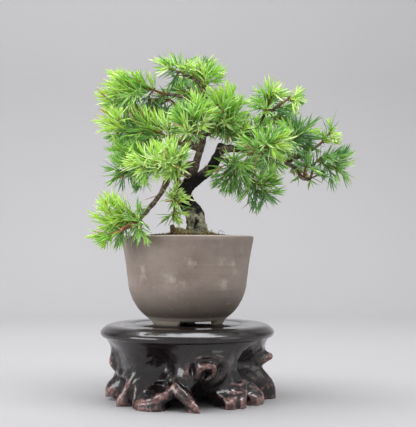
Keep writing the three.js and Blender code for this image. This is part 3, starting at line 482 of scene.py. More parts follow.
# Stand: a turned disc on a bell of wood carved as roots.
stand = {
    "disc": [(0, 41), (50, 41), (55.8, 41.5), (58, 42.6), (58.9, 44.4), (58.5, 46), (57, 47.6), (54.8, 49.3),
             (52.4, 50), (38.6, 50), (37.9, 49.5), (36.7, 49.5), (36, 50), (0, 50)],
    "apron": [(0, 38.5), (5, 40), (10, 42), (16, 44), (22, 46), (28, 48.6), (32, 50.6), (37, 52.8), (40, 54.6),
              (42, 56.2), (43, 57)],
    "bellRadius": 48, # arcs round the bell are measured here
    "inside": [(0, -2), (36, -2), (33, 10), (0, 10)], # cut from below: radius and height
    "freeRoots": ("rightLeg", "horn"), # these stand clear of the bell
    # each root: angle, distance from the axis, height and half thickness at points along it
    "roots": {
        "leftLeg": [(-97, 43, 27, 6.5), (-97, 46, 20, 6.4), (-100, 48, 14.5, 5.8), (-106, 50.4, 9.4, 5.4),
                    (-112, 52.4, 5.8, 5.2), (-118, 53.2, 4.8, 4.8), (-124, 53, 3.8, 4)],
        "rightLeg": [(-100, 47, 15.6, 4.6), (-94, 49.6, 11.6, 4.3), (-88.6, 52.4, 7.6, 3.5), (-84.6, 54.6, 4, 2.7),
                     (-80.4, 57.2, 1.8, 1.8)],
        "column": [(-101, 50, 41, 4), (-98, 46.5, 34, 4.8), (-95, 45.5, 27, 5.4), (-93, 45.4, 20, 6.6),
                   (-90.5, 45.2, 15, 7)],
        "loop": [(-87, 46.4, 20, 3), (-87, 48.4, 26, 3.2), (-82, 50.6, 31.4, 3.8), (-75.5, 52, 34, 4.2),
                 (-67.5, 52, 33, 4.6), (-61.5, 50.4, 28, 4.4), (-62.5, 48.4, 22, 4), (-68, 46.4, 17, 3.6)],
        "tongue": [(-81.5, 49.4, 21, 2.4), (-80, 52.4, 26.4, 3), (-75.6, 54.2, 28.4, 3.3), (-70.4, 53.2, 26.6, 2.8),
                   (-70, 51.4, 22.6, 2.3), (-73.4, 49.4, 18.8, 2.2)],
        "blockLeft": [(-58, 46, 27, 4.4), (-54, 46.2, 20, 5), (-52, 47, 13, 5.6), (-53, 49.4, 7, 5.4),
                      (-57, 51.4, 4.3, 4.4)],
        "blockRight": [(-50, 46, 26, 4.4), (-45, 46.6, 19, 5.2), (-43, 47.4, 13, 5.6), (-45, 50, 7, 5.2),
                       (-49, 52.6, 4.2, 4.2)],
        "blockRipples": [(-56, 50, 15.4, 1.8), (-48, 52, 14.6, 2), (-40, 51, 16, 1.8), (-41, 51.8, 11, 1.7),
                         (-49, 53.4, 10, 1.9), (-56, 52, 10.8, 1.6)],
        "rightRidge": [(-43, 50, 40, 2.6), (-47, 49, 33, 3), (-48, 47.6, 26, 3.4), (-42, 47.6, 19.6, 3.6),
                       (-36, 48.6, 15.4, 3.8)],
        "rightFoot": [(-37, 45, 16, 4.6), (-31, 47.6, 11.5, 5), (-26, 50, 7.5, 5.2), (-24, 52, 5, 4.6),
                      (-32, 52.6, 4.2, 4.2)],
        "innerRidge": [(-24, 48, 38, 3), (-25, 45, 30, 3), (-21, 44.5, 22, 3.4), (-18, 47, 16, 3.6)],
        "edgeFoot": [(-9, 45, 21, 5), (-7, 50.4, 15.4, 5.6), (-4, 54, 10.4, 6), (-2, 55.6, 6.4, 6)],
        "horn": [(-8, 45.5, 26, 5.4), (-6, 50.5, 27.4, 4.2), (-4, 55.6, 28.4, 2.7)],
        "burl": [(-176, 43, 23, 6), (-172, 50, 24.6, 6), (-166, 46.6, 26.6, 4.8)],
        "leftToe": [(-178, 44, 16.6, 5.6), (-176, 49.8, 11.6, 6.6), (-173, 50.8, 7, 6.8)],
        "ridge": [(-170, 46.5, 21.5, 3.4), (-160, 47.3, 18.8, 3), (-149, 47.6, 17.2, 3), (-138, 47.2, 20.4, 3.2),
                  (-133, 47, 26, 2.8)],
        "slantToe": [(-133, 46, 22, 3.6), (-137, 48, 15.6, 4), (-141, 50.4, 9.6, 4.2), (-143, 52.8, 4.6, 4.2)],
        "panel": [(-131, 44, 19, 4.6), (-130, 47.4, 11, 4.8), (-129, 49.2, 5, 4.6)],
        "smallFoot": [(-124, 43, 14, 4), (-123, 46.6, 9, 4.2), (-124, 49, 4.8, 4)],
    },
    # each hollow: angle, distance and height of its middle, then its depth, width and height halved
    "hollows": {
        "gap": (-72, 50, 2.4, 20, 10, 9), "gapTop": (-77, 50, 8.4, 18, 6, 5.4),
        "arch": (-98.5, 46, 1.8, 24, 5.6, 6),
        "great": (-111.5, 52, 15, 14, 7, 4.4), "greatSide": (-104.5, 52, 18.6, 13, 4.6, 5.2),
        "greatTop": (-109, 50, 22, 9, 6, 5),
        "cavity": (-32, 56, 24, 16, 6.4, 8.5),
        "leftGap": (-151, 50, 2, 24, 3.4, 3), "rightGap": (-38.5, 50, 2, 24, 2, 3.2),
    },
    # each dish is shallow and soft: angle, height, depth, then half width and half height
    "dishes": [(-110, 27, 12, 11, 12), (-33, 26, 11, 10, 9), (-19, 24, 5, 6, 6), (-151, 11, 6, 6, 5),
               (-74, 12, 6, 8, 6), (-156, 33, 2.5, 9, 5), (-62, 38, 1.4, 12, 3), (-85, 25.6, 4, 2, 4),
               (-75.4, 22.4, 2.6, 2.2, 2.4), (-75.6, 31.8, 2.2, 5, 1.4), (-65.4, 25.6, 3, 2.2, 3.6),
               (-163, 24.5, 2.2, 2.6, 3.6)],
    "backRoots": (20, 50, 80, 111, 141, 171), "backRootSize": 5.6,
    "skirt": 1.45, "ridged": 1.9, # spread of a root's flanks in thicknesses, and how steep they are
    "pad": 7, # below this height a toe goes straight down
    "voxel": 0.73, "soften": 5,
    "handCut": 1.8, "handCutMm": 6, # unevenness of the hollows: its depth and its size
    "tooling": 0.28, "toolingMm": 8, "toolingTop": 41, "toolingFade": 6, # and of the rest, up to a height
    # wear and painted highlight on the crests: where crests start, how far they reach, and the parts that hands don't
    # touch
    "crestWearAndHighlight": {"smoothings": 6, "crestFrom": 0.004, "crestSpan": 0.02, "arcRadius": 50, "beyondRadius": 42,
             "belowHeight": 38, "fade": 5},
    # where the lacquer is rubbed through to copper and a painted highlight is put on it: angle, height, half size
    "rubbedAndHighlit": [(-169, 26, 6), (-167, 4, 6), (-138, 14, 4), (-142, 6, 5), (-101, 15, 5), (-107, 10, 5), (-119, 5, 7),
               (-81, 3, 6), (-78, 28, 5), (-70, 26, 4), (-94, 26, 6), (-54, 4, 8), (-45, 4, 7), (-47, 11, 6),
               (-29, 5, 7), (-10, 6, 5), (-6, 28, 4), (20, 5, 6), (50, 4, 5), (80, 6, 6), (111, 4, 5), (141, 5, 6),
               (171, 4, 5)],
}


# Millimetres along an arc from one angle to others, in degrees.
def arcTo(start, end, radius):
    return np.radians((end - start + 540) % 360 - 180) * radius


# A ball-shaped hollow, pushed about as if cut by hand.
def hollowAt(angle, distance, height, *halves):
    rise = np.linspace(-math.pi / 2, math.pi / 2, 18)[1:-1, None]
    points, *faces = ringed(aroundAxis(fullTurn(28), np.cos(rise), np.sin(rise)))
    points[-2:] = [[0, 0, -1], [0, 0, 1]]
    out = aroundAxis(np.radians(angle), 1, 0)
    axes = np.array([out, (-out[1], out[0], 0), (0, 0, 1)])
    points = out * distance + (0, 0, height) + (points * halves) @ axes
    cuts = np.array([noise.noise_vector(Vector(p) / stand["handCutMm"]) for p in points])
    return [points + stand["handCut"] * cuts, *faces]


def rootTube(points):
    angle, distance, height, thick = np.transpose(points).astype(float)
    path = np.column_stack([aroundAxis(np.radians(angle), distance, np.maximum(height, thick * 0.85)), thick])
    return tube(roundedEnd(smoothPath(path, 1.0), ((0.35, 0.9), (0.65, 0.7), (0.88, 0.4))), 20)


# The roots that the photograph doesn't show: each a knee and a foot, every other one forked.
def backRoots():
    roots, dishes, hollows = [], [], []
    size = stand["backRootSize"]
    feet = stand["backRoots"]
    for i, foot in enumerate(feet):
        lean = 1 if i % 2 else -1
        rise = 1 + 0.12 * math.sin(i * 2.3)
        roots.append([(foot + lean * 8, 46, 34, size * 0.8), (foot + lean * 6, 47, 25 * rise, size),
                      (foot - lean * 2, 48.4, 15.5 * rise, size * 1.05), (foot, 50.4, 8.8, size),
                      (foot + lean * 4, 53.6, 4.6, size * 0.8)])
        if i % 2 == 0:
            roots.append([(foot - lean, 48.4, 13.5, size * 0.8), (foot - lean * 6, 50.6, 8.5, size * 0.7),
                          (foot - lean * 10, 54, 3.8, size * 0.55)])
        else:
            roots.append([(foot + lean * 12, 46, 26 * rise, size * 0.8), (foot + lean * 13, 50, 28 * rise, size * 0.7)])
        middle = foot + (15 if i < len(feet) - 1 else 9)
        dishes.append((middle, 23 * rise, 8, 6.5, 8.5))
        hollows.append((middle, 48, 2.5, 22, 4.6, 6.4 * rise))
    return roots, dishes, hollows


# The bell of wood: it swells into a skirt round each root and sinks into each dish.
def bellSurface(angles, heights, roots, dishes):
    levels, radii = np.transpose(stand["apron"])
    base = np.interp(heights, levels, radii) + 0 * angles
    rise = np.zeros_like(base)
    for points in roots:
        points = np.array(points, float)
        points[:, 1] += points[:, 3] * 0.75 # the root's middle lies this far inside its crest
        for angle, distance, height, thick in smoothPath(points, 2.0):
            up = heights - height
            if height < stand["pad"]:
                up = np.maximum(up, 0)
            away = np.hypot(arcTo(angle, angles, stand["bellRadius"]), up) / (thick * stand["skirt"])
            rise = np.maximum(rise, (distance - base) * np.exp(-away ** stand["ridged"]))
    for angle, height, depth, wide, tall in dishes:
        arc = arcTo(angle, angles, stand["bellRadius"])
        base = base - depth * np.exp(-(arc / wide) ** 2 - ((heights - height) / tall) ** 2)
    return base + rise


# The disc's profile with its edge rounded.
def roundedDisc():
    profile = np.array(stand["disc"], float)
    edge = smoothPath(np.insert(profile[2:9], 1, 0, axis=1), 0.6)[:, [0, 2]]
    return np.concatenate([profile[:2], edge, profile[9:]])


# Where hands and dusting rub the lacquer: crests, knots and toe tips. The same mask also paints highlight there.
def wearAndHighlightOnCrests(piece, points):
    crestWearAndHighlight = stand["crestWearAndHighlight"]
    count = len(points)
    edges = np.empty(len(piece.data.edges) * 2, np.int32)
    piece.data.edges.foreach_get("vertices", edges)
    first, second = edges.reshape(-1, 2).T
    degree = np.bincount(first, minlength=count) + np.bincount(second, minlength=count)

    def averaged(values):
        total = np.bincount(first, values[second], count) + np.bincount(second, values[first], count)
        return total / np.maximum(degree, 1)

    middle = np.column_stack([averaged(points[:, k]) for k in range(3)])
    crest = np.einsum("ij,ij->i", points - middle, vertices(piece, "normal"))
    for _ in range(crestWearAndHighlight["smoothings"]):
        crest = 0.5 * crest + 0.5 * averaged(crest)
    crest = np.clip((crest - crestWearAndHighlight["crestFrom"]) / crestWearAndHighlight["crestSpan"], 0, 1)
    angle = np.degrees(np.arctan2(points[:, 1], points[:, 0]))
    spot = np.zeros(count)
    for at, height, size in stand["rubbedAndHighlit"]:
        away = np.hypot(arcTo(at, angle, crestWearAndHighlight["arcRadius"]), points[:, 2] - height) / size
        spot = np.maximum(spot, np.exp(-away ** 2))
    outer = np.clip((np.hypot(points[:, 0], points[:, 1]) - crestWearAndHighlight["beyondRadius"]) / crestWearAndHighlight["fade"], 0, 1)
    low = np.clip((crestWearAndHighlight["belowHeight"] - points[:, 2]) / crestWearAndHighlight["fade"], 0, 1)
    return np.clip(crest * (0.3 + 0.6 * spot) + 0.25 * spot, 0, 1) * low * outer


def carveStand():
    moreRoots, moreDishes, moreHollows = backRoots()
    heights = np.linspace(stand["apron"][0][0], stand["apron"][-1][0], 72)[:, None]
    angles = np.arange(480) / 480 * 360 - 180
    radius = bellSurface(angles, heights, [*stand["roots"].values(), *moreRoots], stand["dishes"] + moreDishes)
    shells = [ringed(aroundAxis(np.radians(angles), radius, heights))]
    shells += [rootTube(stand["roots"][name]) for name in stand["freeRoots"]]
    body = gathered("stand_carving", shells)
    apply(body, "REMESH", mode="VOXEL", voxel_size=stand["voxel"])
    hollows = [hollowAt(*hollow) for hollow in [*stand["hollows"].values(), *moreHollows]]
    combine(body, [turned(stand["inside"], 60), *hollows], "DIFFERENCE", use_self=True)
    apply(body, "REMESH", mode="VOXEL", voxel_size=stand["voxel"])
    apply(body, "SMOOTH", factor=0.5, iterations=stand["soften"])
    points, ways = vertices(body), vertices(body, "normal")
    top = stand["toolingTop"]
    for i in np.flatnonzero(points[:, 2] < top):
        shift = stand["tooling"] * noise.fractal(Vector(points[i]) / stand["toolingMm"], 0.7, 2.1, 4)
        points[i] += ways[i] * shift * min(1, (top - points[i, 2]) / stand["toolingFade"])
    points[:, 2] = np.clip(points[:, 2], 0, standTop)
    moveTo(body, points)
    disc = gathered("stand_disc", [turned(roundedDisc(), 240)])
    wood = lacqueredRootwood()
    for piece, wearAndHighlight in ((body, wearAndHighlightOnCrests(body, points)), (disc, np.zeros(len(disc.data.vertices)))):
        addFloats(piece, "wearAndHighlight", wearAndHighlight)
        settle(piece, [wood], ["stand"])


carveStand()
print("stand carved")


# Pot: thrown bowl on three cut feet.
pot = {
    # radius and height above the stand, from the axis under the bowl to the axis on its floor
    "under": [(0, 3.4), (14, 3.3), (22, 3.0)],
    "wall": [(24.6, 2.9), (26.2, 3.6), (27.9, 5), (31.9, 8.6), (36.8, 15.8), (39.6, 23.2), (41, 33.1), (42.2, 42),
             (44, 52.3), (45, 58.2), (44.9, 59.1), (44.2, 59.4)],
    "inside": [(42.4, 59.4), (41.7, 58.9), (41, 56), (38.4, 43), (35.8, 24), (33, 16.6), (27.8, 9.4), (26, 6.9)],
    "floor": [(20, 6.9), (0, 6.9)],
    "sides": 300,
    "wander": 0.12, "wanderAlong": 30, "wanderUp": 2.6, # unevenness of throwing: its depth and its size
    "evenWithin": 23, "wallRadius": 42, # the middle is left even, and the depth is measured at the wall
    "feet": (-131, -8.5, 107), "footSpan": (56, 68), # degrees, at the ground and under the bowl
    "footOuter": (23.9, 27), "footInner": 20.3, "footTall": 5.5, "footEase": 0.5,
}


def throwPot():
    wall, inside = [smoothPath(np.insert(np.array(pot[part], float), 1, 0, axis=1), step)[:, [0, 2]]
                    for part, step in (("wall", 0.8), ("inside", 1.4))]
    profile = np.concatenate([pot["under"], wall, inside, pot["floor"]])
    profile[:, 1] += standTop
    points, *faces = turned(profile, pot["sides"])
    for i, (x, y, z) in enumerate(points):
        if math.hypot(x, y) > pot["evenWithin"]:
            spot = Vector((x / pot["wanderAlong"], y / pot["wanderAlong"], z / pot["wanderUp"]))
            points[i, :2] *= 1 + pot["wander"] * noise.fractal(spot, 1.0, 2.0, 3) / pot["wallRadius"]
    body = gathered("clay_pot", [(points, *faces)])
    feet = []
    for middle in pot["feet"]:
        rings = []
        for height in (0, 0.4, 2.4, pot["footTall"]):
            share = height / pot["footTall"]
            low, high = pot["footSpan"]
            half = (low * (1 - share) + high * share) / 2 - (height == 0)
            turn = np.radians(np.linspace(middle - half, middle + half, 20))
            low, high = pot["footOuter"]
            edge = low + (high - low) * share - pot["footEase"] * (height == 0)
            rings.append(np.concatenate([aroundAxis(turn, edge, standTop + height),
                                         aroundAxis(turn[::-1], pot["footInner"], standTop + height)]))
        feet.append(ringed(np.array(rings)))
    combine(body, feet, "UNION")
    settle(body, [unglazedClay()], ["pot"])


throwPot()
print("pot thrown")


# Limbs: x, y, height, radius along each, the trunk from its foot and boughs from inside the limb they leave.
limbs = {
    "trunk": [(6.7, 0, 110.7, 7.9), (6.3, 0, 114.6, 7.3), (5.4, -0.5, 119.4, 6.8), (4.2, -1, 124.2, 6.2),
              (1.4, -1, 129.1, 5.9), (-1.3, -1, 133.6, 5.1), (-2.1, -0.5, 138.4, 4.4), (-0.4, 0, 144, 4.3),
              (2.6, 0, 150, 3.6), (5.3, 1, 159.7, 2.8), (9.8, 2, 172.9, 2.25), (11.9, 2, 190.8, 1.8),
              (12.3, 1, 203.6, 1.45), (10.8, 0.5, 213.2, 1.05)],
    "left_strand": [(-2.6, -1, 138.5, 2.6), (-6, -2.5, 145, 2.5), (-8.4, -5, 152, 2.1), (-9, -9, 158.5, 1.5)],
    "right_bough": [(-1.2, 0, 139.5, 2.6), (4.2, 0, 145.2, 3), (9.5, -1, 150.3, 3.5), (15.5, -2, 155.6, 3.5),
                    (20.3, -2, 163, 3.4), (22.9, -2, 171.2, 2.9)],
    "right_outer_bough": [(22.2, -2, 168.9, 2.53), (30.4, -1, 169.8, 2.67), (37.9, 0, 168.9, 2.4),
                          (49.7, 2, 166.4, 2.06), (59.3, 2, 164.3, 1.79), (68.2, 1, 160.4, 1.58)],
    "right_lower_bough": [(67.5, 1, 160.7, 1.51), (74.9, 0, 155.2, 1.44), (78.9, -1, 149.2, 1.37),
                          (83.9, -2, 148.7, 1.09)],
    "right_upper_bough": [(68.2, 1.5, 160.1, 1.3), (75.2, 2, 163.3, 1.24), (81.5, 3, 166.8, 1.1),
                          (87.7, 3, 170.3, 0.96)],
    "right_top_bough": [(42.1, 1, 167.9, 1.65), (45, 4, 175.9, 1.52), (49.9, 5, 187.1, 1.24), (53.3, 4, 195.2, 1.1)],
    "right_tip_bough": [(51.9, 4, 191.8, 1.24), (57.2, 1, 195.7, 1.1), (62.5, -1, 199.2, 0.96)],
    "right_back_bough": [(47.8, 4.5, 182.2, 1.31), (51.7, 11, 186.6, 1.12), (56.2, 16, 190.6, 0.99)],
    "right_mid_bough": [(55.2, 2, 165.3, 1.44), (61.2, -1, 169.1, 1.3), (67.1, -3, 173.6, 1.09)],
    "right_front_bough": [(38.6, 0, 168.5, 1.58), (42.2, -11, 167.8, 1.34), (46.4, -19, 168.1, 1.13)],
    "right_under_bough": [(20.8, -2, 164.8, 1.77), (25.5, -5, 162.5, 1.49), (30.2, -6, 156.9, 1.22)],
    "right_hang_bough": [(45.5, 1, 166.9, 1.37), (45.2, -6, 160.3, 1.22), (46.3, -10, 153.1, 1.08)],
    "centre_bough": [(10.5, 2, 177.7, 1.44), (8.6, -7, 179.8, 1.29), (6.6, -14, 181.5, 1.14)],
    "shoulder_bough": [(11.9, 2, 188, 1.37), (16.7, -2, 189.4, 1.3), (21.5, -4, 191.1, 1.09)],
    "right_centre_bough": [(10.5, 2, 179, 1.51), (20.1, 2, 182.5, 1.37), (29.8, 1, 179.2, 1.17)],
    "apex_bough": [(10.9, 1, 209.8, 1.3), (7.1, 0, 215.8, 1.23), (1.7, -1, 219.3, 1.16), (-3.1, -1, 220.7, 1.03)],
    "upper_left_bough": [(12.3, 1, 202.3, 1.37), (5, 2, 203.5, 1.37), (-3.9, 2, 206.6, 1.31), (-14.9, 2, 207.9, 1.24)],
    "upper_under_bough": [(12.3, 2, 194.9, 1.37), (3.6, 8, 195.6, 1.25), (-7, 12, 198, 1.05)],
    "left_bough": [(9.2, 2, 169.4, 1.86), (1.7, -3, 170.9, 1.77), (-4.3, -8, 172.2, 1.76), (-10.2, -11, 173.8, 1.61)],
    "front_left_bough": [(5.1, 1, 159.7, 1.72), (-0.2, -9, 158.3, 1.48), (-5.9, -18, 157, 1.26)],
    "left_lower_bough": [(3.7, 0, 155.2, 1.78), (-7.1, -3, 156.6, 1.5), (-18.5, -7, 157.5, 1.29)],
    "low_left_upper_bough": [(2.3, 0, 150, 2.26), (-3.6, -8, 151.6, 2.09), (-10.1, -13, 149.8, 1.94),
                             (-13.9, -17, 144.5, 1.73)],
    "low_left_lower_bough": [(-13.7, -16.5, 145.2, 1.73), (-18, -21, 136.2, 1.65), (-23.6, -26, 128.3, 1.6),
                             (-28.5, -30, 122.3, 1.5), (-34.2, -41, 116.6, 1.4), (-40.5, -49, 112.4, 1.15)],
    "back_left_bough": [(9.5, 2, 171.5, 1.58), (0, 13, 176.4, 1.4), (-11.7, 23, 179.9, 1.28)],
    "back_top_bough": [(12.2, 2, 201.1, 1.24), (9.8, 9, 203.7, 1.11), (6.9, 16, 207.1, 0.99)],
    "back_centre_bough": [(10.2, 2, 173.6, 1.44), (7.7, 14, 178, 1.33), (4.7, 25, 183.1, 1.14)],
    "back_right_bough": [(11.6, 2, 183.9, 1.37), (17.5, 11, 185.9, 1.33), (23.2, 19, 187.9, 1.13)],
    "back_right_low_bough": [(45.6, 2, 167, 1.37), (48.9, 11, 167.1, 1.26), (52.1, 18, 166.5, 1.06)],
}
bark = {
    "surfaceRoots": [(-165, 8.4, 2.2), (-110, 8.8, 2.4), (-62, 9.2, 2.4), (-8, 8.4, 2.2), (48, 9, 2.4), (112, 9, 2.4)],
    "stray": 0.22, "strayMm": 7, "lumps": 0.14, # how far a limb leaves its path and its girth, in radii
    "collar": 0.3, # extra girth where a bough leaves its limb
    "voxel": 0.36,
    "plateMm": 2.1, "crack": 0.42, "plateStretch": 0.62, "depth": 0.13, # depth in shares of the radius
    "fineMm": 1.1, "swellMm": 9, "patchMm": 5, # sizes of the fibres, the swellings and the lichen's patches
    "foot": 109.2, # nothing goes lower, inside the soil
    "lichenTop": 130, "rustyBelow": 124, "trunkLeft": -12, # lichen grows on the trunk, rusty skin left of it
    "oldLimbs": ("trunk", "right_bough", "left_strand"),
    "leaderGrey": (150, 157, 14), # the trunk's top is grey-brown from and to these heights, left of the third
    "boughGrey": (21, 28), # and the right bough beyond these
}


def limbPath(path, step, seed):
    samples = smoothPath(path, step)
    reach = np.linspace(0, 1, len(samples))
    for i, sample in enumerate(samples):
        spot = Vector(sample[:3]) / bark["strayMm"]
        stray = np.array(noise.noise_vector(spot + Vector((seed, 0, 0))))
        sample[:3] += stray * sample[3] * bark["stray"] * min(1, reach[i] * 6, (1 - reach[i]) * 6)
        sample[3] *= 1 + bark["lumps"] * noise.noise(spot * 2.4 + Vector((0, seed, 9)))
    return samples


def growBark():
    shells, middles, aged = [], [], []
    for i, (name, path) in enumerate(limbs.items()):
        samples = limbPath(path, 1.0, i)
        if name == "trunk":
            samples = np.vstack([samples[0] + (0.4, 0, -3, 1), samples]) # 3 mm further down, and wider
        else:
            out = np.linalg.norm(samples[:, :3] - samples[0, :3], axis=1)
            samples[:, 3] *= 1 + bark["collar"] * np.exp(-(out / (2.2 * samples[0, 3])) ** 2)
        samples = roundedEnd(samples, ((0.4, 0.85), (0.75, 0.5)))
        shells.append(tube(samples, 28 if name == "trunk" else 16))
        middles.append(samples)
        aged.append(np.full(len(samples), float(name in bark["oldLimbs"])))
    footX, footY = limbs["trunk"][0][:2]
    for angle, reach, radius in bark["surfaceRoots"]:
        wayX, wayY = math.cos(math.radians(angle)), math.sin(math.radians(angle))
        path = [(footX + wayX * out, footY + wayY * out, height, size)
                for out, height, size in ((2.6, 117, radius), (5.4, 112.8, radius), (reach, 109.4, radius * 0.6))]
        shells.append(tube(smoothPath(path, 1), 14))
    piece = gathered("bark_limbs", shells)
    apply(piece, "REMESH", mode="VOXEL", voxel_size=bark["voxel"], use_smooth_shade=True)
    apply(piece, "SMOOTH", factor=0.5, iterations=2)
    points = vertices(piece)
    line, aged = np.concatenate(middles), np.concatenate(aged)
    lineWays = alongOf(line)
    old, radius, plate, fine = np.empty((4, len(points)))
    stretched = np.empty((len(points), 3))
    for start in range(0, len(points), 4000): # in parts, to spare memory
        part = slice(start, start + 4000)
        nearest = (np.linalg.norm(points[part, None] - line[None, :, :3], axis=2) - line[None, :, 3]).argmin(1)
        radius[part] = line[nearest, 3]
        old[part] = aged[nearest]
        run = np.einsum("ij,ij->i", points[part], lineWays[nearest])
        stretched[part] = points[part] - lineWays[nearest] * (run * bark["plateStretch"])[:, None]
    for i, spot in enumerate(stretched):
        bent = Vector(spot) / (bark["plateMm"] * (0.45 + 0.14 * radius[i]))
        bent += noise.noise_vector(bent * 0.7) * 0.45
        near = noise.voronoi(bent)[0]
        plate[i] = min((near[1] - near[0]) / bark["crack"], 1.0)
        fine[i] = noise.fractal(Vector(spot) / bark["fineMm"], 0.8, 2.1, 4)
    depth = np.clip(bark["depth"] * radius, 0.1, 0.75)
    swell = np.array([noise.noise(Vector(p) / bark["swellMm"]) for p in points])
    lift = depth * (plate ** 0.6 - 0.72) + 0.1 * fine + 0.07 * radius * swell
    points += vertices(piece, "normal") * lift[:, None]
    points[:, 2] = np.maximum(points[:, 2], bark["foot"])
    moveTo(piece, points)
    across, height = points[:, 0], points[:, 2]
    patch = np.array([noise.fractal(Vector(p) / bark["patchMm"], 0.8, 2, 3) for p in points])
    low, high, left = bark["leaderGrey"]
    leader = np.clip((height - low) / (high - low), 0, 1) * (across < left)
    low, high = bark["boughGrey"]
    outer = np.clip((across - low) / (high - low), 0, 1)
    young = np.maximum(1 - old, np.maximum(leader, outer)) * 0.85
    onTrunk = across > bark["trunkLeft"]
    rusty = np.clip((bark["rustyBelow"] - height) / 6, 0, 0.85) * (across < bark["trunkLeft"])
    lichen = np.clip((bark["lichenTop"] - height) / 7, 0, 1) * onTrunk
    addFloats(piece, "plate", np.clip(plate * 0.62 + 0.35 * fine + 0.18 * swell, 0, 1))
    addFloats(piece, "young", young * np.clip(0.8 + fine, 0, 1))
    addFloats(piece, "rusty", rusty)
    addFloats(piece, "lichen", lichen * np.clip(0.92 + 1.5 * patch + 0.4 * fine, 0, 1))
    settle(piece, [weatheredBark()], [name for name in limbs if name != "left_strand"])


growBark()
print("bark grown")


